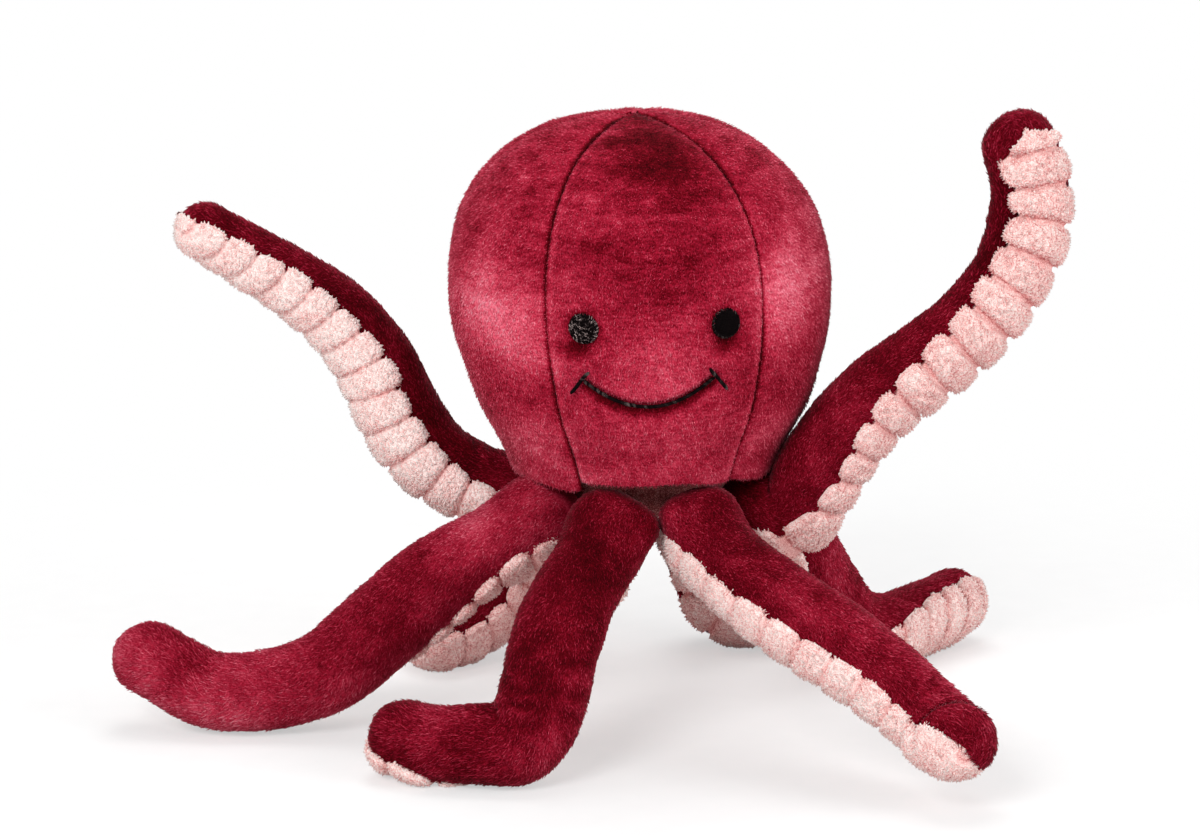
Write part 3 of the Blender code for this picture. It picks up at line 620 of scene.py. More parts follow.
def smile_height(across):
    share = np.clip(across / SMILE_REACH, -1, 1)
    return SMILE_CORNER_HEIGHT - SMILE_DROP * (1 - share * share)


def smile_offset(run, angle):
    """Height above the smile's line, and 1 where the line is, 0 beyond its ends."""
    across, height = face_coordinates(run, angle)
    across = across - SMILE_ASIDE
    height = height - SMILE_ASIDE * FACE_TILT
    return height - smile_height(across), smoothstep(SMILE_REACH + 0.003 - np.abs(across), 0, 0.004)


def eye_offset(run, angle, side):
    """Distances across and up from the middle of an eye."""
    across, height = face_coordinates(run, angle)
    return across - side * math.radians(EYE_ANGLE_DEG) * HEAD_RADIUS, height - EYE_HEIGHT


def blob(x, y, wide, tall):
    return np.exp(-(x / wide) ** 2 - (y / tall) ** 2)


def face_dents(run, angle):
    """How far the embroidery draws the face in."""
    off, inside = smile_offset(run, angle)
    depth = inside * (0.0020 * np.exp(-(off / 0.0024) ** 2) + 0.0012 * np.exp(-((off + 0.005) / 0.005) ** 2))
    for side, below in ((-1, -0.0035), (1, 0.0005)):
        dx, dz = eye_offset(run, angle, side)
        depth = depth + 0.0014 * blob(dx, dz, 0.0085, 0.0085)
        depth = depth + 0.0022 * blob(dx - below, dz + 0.0088, 0.0075, 0.0042)
    return depth


PAINTED_LIGHT_BLOBS = (
    # turn from the face, share of the height, how wide, how tall, how much lighter (painted highlight where above zero,
    # painted shade below)
    (0.0, 0.95, 0.60, 0.11, -0.24), (0.16, 0.86, 0.25, 0.06, -0.10), (-0.05, 0.62, 0.36, 0.10, -0.13),
    (0.02, 0.77, 0.28, 0.05, 0.0), (-0.02, 0.37, 0.46, 0.12, 0.13), (-0.98, 0.49, 0.34, 0.14, 0.42),
    (-0.9, 0.75, 0.35, 0.07, -0.04), (-0.75, 0.29, 0.28, 0.09, -0.05), (0.76, 0.545, 0.20, 0.14, 0.32),
    (1.0, 0.60, 0.30, 0.12, 0.18), (0.52, 0.41, 0.09, 0.12, -0.08), (-0.2, 0.16, 0.6, 0.07, 0.14),
    (-0.3, 0.06, 0.7, 0.035, 0.12), (-0.9, 0.12, 0.3, 0.09, 0.17), (0.75, 0.14, 0.25, 0.07, 0.14),
    (1.6, 0.35, 0.3, 0.15, -0.05), (2.3, 0.55, 0.4, 0.15, 0.17),
    (-2.2, 0.5, 0.35, 0.2, 0.15), (3.1, 0.35, 0.4, 0.15, -0.08), (3.0, 0.72, 0.4, 0.1, 0.10))


def head_tone(run, angle, points):
    """How the pile is brushed: painted shade where it lies away from the light, painted highlights where it catches it.
    """
    share = profile_at(run)[1] / HEAD_HEIGHT
    tone = 0.468 + 0.06 * noise(points, 0.034, 3) + 0.06 * noise(points, 0.013, 4) + 0.055 * noise(points, 0.005, 5)
    tone = tone + 0.06 * noise(points, 0.0022, 7)
    # faint brush lines across the forehead
    tone = tone + 0.09 * noise(points * np.array([0.3, 0.3, 1.7]), 0.0036, 8) * smoothstep(share, 0.42, 0.6)
    wander = 0.05 * noise(points, 0.02, 9)
    for centre, height_share, wide, tall, amount in PAINTED_LIGHT_BLOBS:
        turn = (angle - centre + math.pi) % (2 * math.pi) - math.pi
        tone = tone + amount * blob(turn, share - height_share + wander, wide, tall)
    return tone


def face_shade(run, angle):
    """Painted shade round the eyes and under the smile, where the pile is drawn in, and a little painted light just
    above the smile.
    """
    off, inside = smile_offset(run, angle)
    shade = inside * (0.38 * np.exp(-((off + 0.0024) / 0.0026) ** 2) - 0.06 * np.exp(-((off - 0.004) / 0.003) ** 2))
    for side, aside in ((-1, -0.0045), (1, 0.0)):
        dx, dz = eye_offset(run, angle, side)
        r = np.hypot(dx, dz)
        shade = shade + 0.16 * np.exp(-((r - EYE_RADIUS) / 0.0022) ** 2)
        shade = shade + 0.36 * blob(dx - aside, dz + 0.0092, 0.0066, 0.0038)
    return shade


def on_embroidery(run, angle):
    """True where the eyes and the smile lie over the pile."""
    off, inside = smile_offset(run, angle)
    covered = (np.abs(off) < 0.0009) & (inside > 0.5)
    for side in (-1, 1):
        dx, dz = eye_offset(run, angle, side)
        covered = covered | (np.hypot(dx, dz) < EYE_RADIUS - 0.0002)
    return covered


HEM_LIFT = 0.0022
FRONT_HEM_LIFT = 0.0060
ROLL_ROWS = 7


def make_head():
    made = []
    for number, (name, first, last) in enumerate(head_panels()):
        shell = Shell()
        rows, columns = 150, 66
        t = np.linspace(0, 1, columns)
        share = (0.5 * t + 0.25 * (1 - np.cos(math.pi * t)))[None, :] * np.ones((rows, 1))
        # the hem hangs a little unevenly
        angle = first + (last - first) * share
        lift = HEM_LIFT + 0.0006 * np.sin(angle[0] * 5 + 1) + 0.0004 * np.sin(angle[0] * 11)
        lift = lift + FRONT_HEM_LIFT * np.exp(-(angle[0] / 0.95) ** 2)
        run = lift[None, :] + np.linspace(0, 1, rows)[:, None] * (PROFILE_RUN[-1] - 0.0004 - lift)[None, :]
        radius, height, slope = profile_at(run)
        seam = np.minimum(share, 1 - share) * (last - first) * np.maximum(radius, 0.004)
        full = np.minimum(1.0, 2 * radius / HEAD_RADIUS)
        puff = PANEL_PUFF * full * (1 - (2 * share - 1) ** 2)
        groove = 0.0011 * np.exp(-(seam / 0.0008) ** 1.5) + 0.0009 * np.exp(-(seam / 0.0055) ** 2)
        probe = head_surface(run, angle, 0.0)
        lumps = 0.0008 * noise(probe, 0.03, 11 + number) + 0.00025 * noise(probe, 0.009, 21)
        # puckers run out from the seams
        pucker = 0.00022 * np.exp(-(seam / 0.008) ** 2) * np.sin(run / 0.0058 * 2 * math.pi + 3 * noise(probe, 0.02, 6))
        dents = face_dents(run, angle) if name == "face" else 0.0
        hem = 0.0012 * np.exp(-((run - lift) / 0.010) ** 2)
        surface = head_surface(run, angle, puff - groove + lumps + pucker - dents + hem - HEAD_SINK)
        # the edge is rolled under at the hem
        edge = surface[0]
        axis = np.array([MIDDLE[0], MIDDLE[1], 0])
        inward = unit((axis - edge) * np.array([1, 1, 0]))
        roll = []
        for step in range(ROLL_ROWS, 0, -1):
            turn = step / ROLL_ROWS * math.radians(150)
            drop = min(0.003 * math.sin(turn), 0.0014)
            roll.append(edge + inward * (0.0045 * (1 - math.cos(turn))) - np.array([0, 0, drop]))
        grid = np.concatenate([np.array(roll), surface])
        normals, quads = oriented(grid, grid - np.array([MIDDLE[0], MIDDLE[1], HEM_HEIGHT + 0.05]))
        run_all = np.concatenate([run[:1].repeat(ROLL_ROWS, 0), run])
        angle_all = np.concatenate([angle[:1].repeat(ROLL_ROWS, 0), angle])
        seam_all = np.concatenate([seam[:1].repeat(ROLL_ROWS, 0), seam])
        tone = head_tone(run_all, angle_all, grid)
        # a painted highlight along the rolled hem
        above = (run_all - lift - 0.002 - 0.0015 * noise(grid, 0.012, 25)) / 0.0035
        tone = tone + 0.10 * np.exp(-above ** 2)
        if name == "face":
            # painted shade round the eyes and smile, and a painted highlight on the ridge beside each face seam
            tone = tone - face_shade(run_all, angle_all) + 0.07 * np.exp(-((seam_all - 0.003) / 0.0014) ** 2)
        # painted shade on the base under the tufts, and a dark line along each seam
        base_tone = np.clip(tone - 0.05 - 0.36 * np.exp(-(seam_all / 0.0010) ** 2), 0, 1)
        comb = np.stack([angle_all * HEAD_RADIUS / 0.0006, run_all / 0.0018, np.full(grid.shape[:2], 0.5)], -1)
        shell.add(grid.reshape(-1, 3), quads, normals.reshape(-1, 3), comb.reshape(-1, 3), base_tone.ravel())

        r, c, u, v, rng = scatter_on_grid(grid, 0.00108, 50 + number)
        seam_here, run_here, angle_here = (at(x, r, c, u, v) for x in (seam_all, run_all, angle_all))
        keep = seam_here > 0.0004
        if name == "face":
            keep = keep & ~on_embroidery(run_here, angle_here)
        r, c, u, v, seam_here, run_here = (x[keep] for x in (r, c, u, v, seam_here, run_here))
        roots, normal = at(grid, r, c, u, v), unit(at(normals, r, c, u, v))
        flow = -unit(at(np.gradient(grid, axis=0), r, c, u, v))
        side = unit(np.cross(normal, flow))
        swirl = 0.55 * noise(roots, 0.03, 41) + 0.4 * noise(roots, 0.008, 42) + 0.35 * rng.standard_normal(len(r))
        near_seam = np.exp(-(seam_here / 0.003) ** 2)
        swirl = swirl * (1 - 0.7 * near_seam)
        flow = unit(flow * np.cos(swirl)[:, None] + side * np.sin(swirl)[:, None])
        length = HEAD_PILE * (0.7 + 0.6 * rng.random(len(r))) * (1 - 0.7 * np.exp(-(seam_here / 0.0016) ** 2))
        rise = np.radians(30 + 10 * rng.standard_normal(len(r)) + 6 * noise(roots, 0.012, 43))
        rise = np.clip(rise - 0.15 * near_seam, 0.2, 1.1)
        width = 0.00058 * (0.75 + 0.5 * rng.random(len(r)))
        add_tufts(shell, roots, normal, flow, length, width, rise, at(tone, r, c, u, v), rng)
        node = "head_panel_" + name
        also = ("head_stuffing",) if name == "face" else ()
        made.append(shell.build("plush_" + node, HEAD_PLUSH, "head", (node,) + also))
    return made


# ---------------------------------------------------------------------------
# Tentacle routes, as in the CAD model
# ---------------------------------------------------------------------------
def curve_through(rows):
    ends = [rows[0]] + list(rows) + [rows[-1]]
    smooth = []
    for before, low, high, after in zip(ends, ends[1:], ends[2:], ends[3:]):
        for step in range(ROUTE_STEPS):
            t = step / ROUTE_STEPS
            smooth.append([
                ((2 * b) + (c - a) * t + (2 * a - 5 * b + 4 * c - d) * t * t
                 + (3 * b - a - 3 * c + d) * t ** 3) / 2
                for a, b, c, d in zip(before, low, high, after)])
    smooth.append(list(rows[-1]))
    return smooth


def fullness(distance):
    share = min(max(distance / (2 * ROOT_RADIUS), 0.0), 1.0)
    return share * share * (3 - 2 * share)


def limb_radius(distance, length, tip):
    share = min(max(distance / length, 0.0), 1.0)
    if share < MIDDLE_SHARE:
        turn = math.cos(math.pi * share / MIDDLE_SHARE)
        return MIDDLE_RADIUS - (MIDDLE_RADIUS - ROOT_RADIUS) * (1 + turn) / 2
    turn = math.cos(math.pi * (share - MIDDLE_SHARE) / (1 - MIDDLE_SHARE))
    return tip + (MIDDLE_RADIUS - tip) * (1 + turn) / 2


def section_offset(frame_here, radius, angle, distance):
    _, up, side = frame_here
    flat = FLATTEN_SHARE * fullness(distance)
    return (up * math.cos(angle) * (1 - flat) + side * math.sin(angle) * (1 + flat)) * radius


def frames_along(places, facings):
    frames = []
    for index in range(len(places)):
        ahead = places[min(index + 1, len(places) - 1)]
        behind = places[max(index - 1, 0)]
        tangent = (ahead - behind).normalized()
        up = (facings[index] - tangent * facings[index].dot(tangent)).normalized()
        frames.append((tangent, up, tangent.cross(up)))
    return frames


def rib_fade(angle):
    return min(1.0, 2 * abs(math.cos(angle)))


def lying_height(frame_here, radius, distance):
    depth = 0.0
    for step in range(4 * HALF_SEGMENTS):
        angle = math.pi * step / (2 * HALF_SEGMENTS)
        ribbed = radius
        if math.cos(angle) < 0:
            ribbed += RIB_HEIGHT * rib_fade(angle)
        depth = max(depth, -section_offset(frame_here, ribbed, angle, distance).z)
    return depth - FLOOR_FLAT_DEPTH


def evened(values):
    even = []
    for index in range(len(values)):
        near = values[max(index - ROUTE_STEPS, 0):index + ROUTE_STEPS + 1]
        even.append(sum(near) / len(near))
    return even


def route_height(rise, low):
    climb = ROOT_HEIGHT - MIDDLE_RADIUS
    lifted = MIDDLE_RADIUS + rise * climb
    flat = max(0.0, 1.0 - max(rise, 0.0))
    return lifted + (low - MIDDLE_RADIUS) * flat * flat


def tentacle_route(name, sink=0.0):
    tip = TIP_RADIUS * TIP_FILL_SHARES.get(name, 1.0)
    number, shares = ROUTE_SHARES[name]
    turn = math.pi * number / ROOT_COUNT
    root = Vector((math.sin(turn), -math.cos(turn), 0)) * ROOT_RING_RADIUS
    rows = [(0.0, 0.0, 1.0, *shares[0][3])]
    rows += [(x, y, rise, *facing) for x, y, rise, facing in shares]
    smooth = curve_through(rows)
    facings = [Vector(row[3:]).normalized() for row in smooth]
    lying = [MIDDLE_RADIUS] * len(smooth)
    for _ in range(3):
        places = []
        for row, low in zip(smooth, lying):
            height = route_height(row[2], low)
            across = Vector((row[0], row[1], 0)) * TENTACLE_LENGTH
            places.append(root + across + Vector((0, 0, height)))
        distances = [0.0]
        for here, there in zip(places, places[1:]):
            distances.append(distances[-1] + (there - here).length)
        frames = frames_along(places, facings)
        lying = []
        for frame_here, distance in zip(frames, distances):
            lying.append(lying_height(frame_here, limb_radius(distance, distances[-1], tip), distance))
        lying = [low - sink for low in evened(lying)]
    return places, facings, distances, tip


def settled_route(name):
    route = tentacle_route(name)
    if min(share[2] for share in ROUTE_SHARES[name][1]) > 0:
        return route
    sink = 0.0
    for _ in range(2):
        sink += lowest_point(route) + FLOOR_FLAT_DEPTH
        route = tentacle_route(name, sink)
    return route


def route_at(route, distance):
    places, facings, distances, _ = route
    if distance <= 0:
        back = (places[1] - places[0]).normalized()
        return places[0] + back * distance, facings[0]
    index = 1
    while distances[index] < distance and index < len(places) - 1:
        index += 1
    step = distances[index] - distances[index - 1]
    share = (distance - distances[index - 1]) / step
    return places[index - 1].lerp(places[index], share), facings[index - 1].lerp(facings[index], share)


def lowest_point(route):
    """The lowest point of the CAD model's panels on this route."""
    length, tip = route[2][-1], route[3]
    straight = length - tip
    count = max(2, round(straight / RIB_PITCH))
    rings = [(-s * ROOT_RADIUS, math.sqrt(ROOT_RADIUS ** 2 * (1 - s * s))) for s in ROOT_RING_SHARES]
    rings += [(straight * i / count, limb_radius(straight * i / count, length, tip)) for i in range(count + 1)]
    for degrees in TIP_RING_DEGREES:
        turn = math.radians(degrees)
        rings.append((straight + tip * math.sin(turn), tip * math.cos(turn)))
    rings.append((straight + tip, 0.0))
    placed = [route_at(route, distance) for distance, _ in rings]
    frames = frames_along([place for place, _ in placed], [facing for _, facing in placed])
    lowest = 1.0
    before = None
    for (place, _), frame_here, (distance, radius) in zip(placed[:-1], frames, rings):
        here = [place + section_offset(frame_here, radius, math.pi / 2 + math.pi * i / HALF_SEGMENTS, distance)
                for i in range(HALF_SEGMENTS + 1)]
        if before and RIB_PITCH / 2 < distance < length - tip / 2:
            for i, (a, b) in enumerate(zip(before[1], here)):
                middle = (a + b) / 2
                outward = (middle - (before[0] + place) / 2).normalized()
                angle = math.pi / 2 + math.pi * i / HALF_SEGMENTS
                crest = middle + outward * RIB_HEIGHT * rib_fade(angle) * fullness(distance)
                lowest = min(lowest, crest.z)
        lowest = min([lowest] + [point.z for point in here])
        before = (place, here)
    return lowest


def limb_frames(route, distances):
    """Arrays of place, tangent, up and side at distances along a route, smoothed."""
    placed = [route_at(route, float(distance)) for distance in distances]
    places = np.array([place for place, _ in placed])
    facings = np.array([facing for _, facing in placed])
    window = 4
    kernel = np.ones(2 * window + 1) / (2 * window + 1)

    def smooth(values):
        padded = np.concatenate([np.repeat(values[:1], window, 0), values, np.repeat(values[-1:], window, 0)])
        return np.stack([np.convolve(padded[:, i], kernel, "valid") for i in range(3)], -1)

    tangent = unit(smooth(np.gradient(places, axis=0)))
    facings = smooth(facings)
    up = unit(facings - tangent * np.sum(facings * tangent, -1, keepdims=True))
    return places + MIDDLE, tangent, up, np.cross(tangent, up)


def limb_rings(length, tip, step):
    """Distance along the limb and radius of each ring, from the back of the round root to the tip."""
    straight = length - tip
    rings = []
    for turn in np.linspace(-90, 0, 13)[:-1]:
        rings.append((ROOT_RADIUS * math.sin(math.radians(turn)), ROOT_RADIUS * math.cos(math.radians(turn))))
    for distance in np.linspace(0, straight, int(straight / step) + 1):
        rings.append((distance, limb_radius(distance, length, tip)))
    for turn in np.linspace(0, 90, int(tip * math.pi / 2 / step) + 1)[1:]:
        rings.append((straight + tip * math.sin(math.radians(turn)), tip * math.cos(math.radians(turn))))
    return np.array(rings)


def limb_grid(route, edges, columns, step, offset):
    """Surface points of one side of a limb, between the two angles that edges(distance) gives.

    offset(distance, angle, points) moves them out.
    """
    tip = route[3]
    rings = limb_rings(route[2][-1], tip, step)
    place, tangent, up, side = limb_frames(route, rings[:, 0])
    first, last = edges(rings[:, 0])
    angle = first[:, None] + (last - first)[:, None] * np.linspace(0, 1, columns)
    straight = route[2][-1] - tip
    full = np.array([fullness(distance) for distance in rings[:, 0]])[:, None, None] * FLATTEN_SHARE
    radius = np.maximum(rings[:, 1], 1e-5)[:, None, None]
    ca, sa = np.cos(angle)[..., None], np.sin(angle)[..., None]
    across = up[:, None] * ca * (1 - full) + side[:, None] * sa * (1 + full)
    base = place[:, None] + across * radius
    normals = grid_normals(base)
    outward = across.copy()
    cap = smoothstep(rings[:, 0], straight, straight + tip)[:, None, None]
    bulge = np.sqrt(np.maximum(0, 1 - (radius / tip) ** 2))
    outward = unit(outward * radius / tip + tangent[:, None] * cap * bulge)
    if np.mean(np.sum(normals * outward, -1)) < 0:
        normals = -normals
    distance = rings[:, 0][:, None] * np.ones((1, columns))
    moved = base + outward * offset(distance, angle, base)[..., None]
    # nothing goes below the floor
    moved[..., 2] = np.maximum(moved[..., 2], FLOOR_CLEARANCE)
    return moved, distance, angle, tangent, outward


WRINKLES = {
    # name: (distance share, spread share, wave, depth)
    "front_centre": (0.52, 0.12, 0.0085, 0.0008),
    "front_left": (0.72, 0.1, 0.012, 0.0001),
    "front_right": (0.80, 0.06, 0.008, 0.0005),
    "rear_left": (0.3, 0.1, 0.009, 0.0004),
    "rear_right": (0.45, 0.1, 0.009, 0.0004),
    "rear_centre": (0.35, 0.1, 0.009, 0.0004),
    "raised_right": (0.75, 0.08, 0.010, 0.0004),
    "raised_left": (0.15, 0.1, 0.010, 0.0004),
}
# How light each limb's pile is painted, as painted light and shade where it lies towards or away from the light, and
# the end that is sewn on as a rounded cap
LIMB_PAINTED_LIGHT_TONES = {"front_centre": 0.325, "front_right": 0.35, "raised_right": 0.27, "rear_right": 0.33,
              "rear_centre": 0.26, "rear_left": 0.27, "raised_left": 0.25, "front_left": 0.47}
LIMB_PAINTED_LIGHT_PATCHES = {
    # distance share, angle, how long, how wide, how much lighter (painted highlight where above zero, painted shade
    # below)
    "front_left": ((0.14, 0.0, 0.06, 0.8, 0.13), (0.34, 0.1, 0.12, 1.0, -0.07), (0.60, 0.3, 0.05, 0.6, 0.06),
                   (0.80, -1.0, 0.22, 0.6, 0.17), (0.97, -0.5, 0.07, 1.4, 0.12)),
    "front_centre": ((0.25, 0.0, 0.16, 0.9, -0.04), (0.60, -0.9, 0.08, 0.6, 0.16), (0.50, 0.9, 0.07, 0.6, -0.14),
                     (0.66, 0.8, 0.05, 0.5, -0.12), (0.85, -0.2, 0.12, 0.8, 0.05)),
    "front_right": ((0.42, 0.95, 0.20, 0.35, 0.12), (0.12, 0.0, 0.10, 1.2, -0.07), (0.70, -0.2, 0.10, 0.5, 0.05)),
    "raised_right": ((0.45, 0.9, 0.2, 0.5, 0.05), (0.75, 0.0, 0.2, 2.0, -0.05)),
    "raised_left": ((0.60, 0.4, 0.12, 0.5, 0.06), (0.30, 0.0, 0.14, 2.0, -0.06)),
    "rear_right": ((0.25, 0.3, 0.2, 0.8, 0.08),),
}
ROOT_SWELL = 0.0016
LIMB_SWELLS = {
    # distance share, angle, how long, how wide, how much fuller
    "front_centre": ((0.02, 0.0, 0.06, 0.9, 0.0046), (0.02, -1.15, 0.06, 0.42, 0.0075)),
    "front_right": ((0.02, 0.0, 0.06, 0.9, 0.0046), (0.02, 1.05, 0.06, 0.38, 0.0070)),
    "front_left": ((0.02, 0.0, 0.06, 0.9, 0.0036),),
    "raised_right": ((0.17, 0.1, 0.07, 0.9, 0.0035), (0.02, 0.1, 0.06, 0.9, 0.0030)),
    "raised_left": ((0.12, 0.0, 0.05, 0.8, 0.0015),),
}
END_CREASE = {"front_right": 0.019}
SEAM_TURNS = {
    # how far the plush reaches round beyond half, at the angle -90 side (root, tip), then at the +90 side
    "front_centre": (0.92, -0.08, 0.55, 0.55),
    "front_right": (0.20, 0.50, -0.10, -0.30),
    "raised_right": (0.0, 0.70, 0.0, 0.50),
    "rear_right": (0.0, 0.0, -0.05, -0.10),
    "rear_centre": (0.35, 0.35, 0.0, 0.0),
    "rear_left": (0.0, 0.0, 0.0, 0.0),
    "raised_left": (-0.22, -0.24, 0.0, 0.0),
    "front_left": (0.08, 0.90, 0.55, 0.55),
}
# The limb whose tip the plush closes round, and how far its ribs slant (root, tip)
CLOSED_TIPS = ("raised_right",)
SEAM_TURN_SHARES = {"front_centre": (0.70, 0.92), "front_left": (0.30, 0.46), "raised_right": (0.68, 0.86)}
KNIT_SHARES = {"raised_right": 0.15}
GROOVE_LIFTS = {"front_right": 0.0, "raised_left": 0.0003}
CREST_LIFTS = {"front_right": -0.0003}
EDGE_BULGES = {"front_right": 0.08}
# painted light: how much lighter each limb's pink underside is painted, by how much light it catches
PINK_PAINTED_LIGHT_TONES = {"raised_left": 0.23, "front_right": 0.17, "rear_right": 0.10, "front_centre": 0.16, "rear_centre": 0.07,
              "raised_right": 0.04}
RIB_SLANTS = {"raised_left": (0.002, 0.009), "raised_right": (0.0, 0.0038), "rear_right": (0.002, 0.009),
              "front_right": (0.001, 0.002)}


def seam_turns(name, route, distance):
    """How far beyond half way round the plush reaches on either side, along the limb."""
    length, tip = route[2][-1], route[3]
    minus_root, minus_tip, plus_root, plus_tip = SEAM_TURNS[name]
    share = smoothstep(distance / length, *SEAM_TURN_SHARES.get(name, (0.42, 0.68)))
    minus = minus_root + (minus_tip - minus_root) * share
    plus = plus_root + (plus_tip - plus_root) * share
    if name in CLOSED_TIPS:
        closing = smoothstep(distance, length - 1.0 * tip, length - 0.25 * tip)
        minus = minus + (1.56 - minus) * closing
        plus = plus + (1.56 - plus) * closing
    return minus, plus


def make_limb_top(name, number, route):
    length, tip = route[2][-1], route[3]
    where, spread, wave, deep = WRINKLES[name]

    def crease(distance):
        if name not in END_CREASE:
            return np.zeros_like(distance)
        return np.exp(-((distance - length + END_CREASE[name]) / 0.0022) ** 2)

    def folds(distance, points):
        near = np.exp(-((distance / length - where) / spread) ** 2)
        return near * np.sin(distance / wave * 2 * math.pi + 4.5 * noise(points, 0.014, 120)) * (
            0.6 + 0.6 * noise(points, 0.01, 121))

    def offset(distance, angle, points):
        lumps = 0.0008 * noise(points, 0.026, 100 + number) + 0.00045 * noise(points, 0.01, 110 + number)
        cap = ROOT_SWELL * (1 - smoothstep(distance, 0.004, 0.03))
        for place, turn, long, wide, amount in LIMB_SWELLS.get(name, ()):
            cap = cap + amount * blob(distance / length - place, angle - turn, long, wide)
        if name in END_CREASE:
            cap = cap + 0.0018 * smoothstep(distance, length - END_CREASE[name], length - END_CREASE[name] + 0.004)
            cap = cap + 0.0009 * np.exp(-((distance - length + END_CREASE[name] + 0.0055) / 0.0028) ** 2)
        return (lumps + deep * folds(distance, points) * np.cos(angle) ** 2 + cap
                - 0.0046 * crease(distance) * np.cos(angle * 0.7) ** 2 - PLUSH_SINK)

    def edges(distance):
        minus, plus = seam_turns(name, route, distance)
        return -(math.pi / 2 + 0.05 + minus), math.pi / 2 + 0.05 + plus

    grid, distance, angle, tangent, outward = limb_grid(route, edges, 40, 0.0017, offset)
    normals, quads = oriented(grid, outward)
    shell = Shell()
    # each limb's painted light level, with random tone
    tone = LIMB_PAINTED_LIGHT_TONES[name] + 0.10 * noise(grid, 0.03, 130 + number) + 0.08 * noise(grid, 0.012, 131)
    # painted shade in the end crease
    tone = tone + 0.07 * noise(grid, 0.005, 132) + 0.05 * noise(grid, 0.0024, 133) - 0.42 * crease(distance)
    # painted light on the fold crests and painted shade in their troughs
    tone = tone + deep / 0.0008 * 0.09 * folds(distance, grid)
    # painted highlight and painted shade patches
    for place, turn, long, wide, amount in LIMB_PAINTED_LIGHT_PATCHES.get(name, ()):
        tone = tone + amount * blob(distance / length - place, angle - turn + 0.3 * noise(grid, 0.02, 134), long, wide)
    comb = np.stack([angle * MIDDLE_RADIUS / 0.0006, distance / 0.0030, np.full(grid.shape[:2], 0.5)], -1)
    # the base under the tufts gets a little painted shade
    shell.add(grid.reshape(-1, 3), quads, normals.reshape(-1, 3), comb.reshape(-1, 3), np.clip(tone - 0.06, 0, 1).ravel())

    r, c, u, v, rng = scatter_on_grid(grid, 0.00102, 150 + number)
    dist = at(distance, r, c, u, v)
    keep = dist > -0.35 * ROOT_RADIUS
    r, c, u, v, dist = (x[keep] for x in (r, c, u, v, dist))
    roots, normal = at(grid, r, c, u, v), unit(at(normals, r, c, u, v))
    ang = at(angle, r, c, u, v)
    along = unit(tangent[r])
    side = unit(np.cross(normal, along))
    swirl = 0.5 * noise(roots, 0.028, 140 + number) + 0.4 * noise(roots, 0.009, 141) + 0.3 * rng.standard_normal(len(r))
    swirl = swirl - 0.45 * np.where(np.abs(ang) > 0.5, 1, 0.4) * np.sin(ang)
    flow = unit(along * np.cos(swirl)[:, None] + side * np.sin(swirl)[:, None])
    long = LIMB_PILE * (0.55 + 0.6 * rng.random(len(r))) * (0.7 + 0.3 * smoothstep(dist / length, 0.3, 1.0))
    rise = np.radians(14 + 6 * rng.standard_normal(len(r)) + 5 * noise(roots, 0.01, 142))
    rise = np.clip(rise - 0.12 * smoothstep(dist, length - tip, length), 0.06, 0.6)
    long = long * (1 - 0.55 * np.exp(-((dist - length + END_CREASE.get(name, -1)) / 0.004) ** 2))
    width = 0.00056 * (0.7 + 0.6 * rng.random(len(r)))
    add_tufts(shell, roots, normal, flow, long, width, rise, at(tone, r, c, u, v), rng)
    shell.points[-1][:, 2] = np.maximum(shell.points[-1][:, 2], FLOOR_CLEARANCE)
    nodes = (name + "_tentacle_top", name + "_tentacle_stuffing")
    return shell.build("plush_" + name + "_tentacle", LIMB_PLUSH, name + "_tentacle", nodes)


KNIT_SHARE = 0.07
CURL_LENGTH = 0.0026
CURL_WIDTH = 0.0015
CURL_HEIGHT = 0.0012
# painted shade at the base of each curl nub and painted light on its top
CURL_PAINTED_SHADES = (-0.52, 0.14)


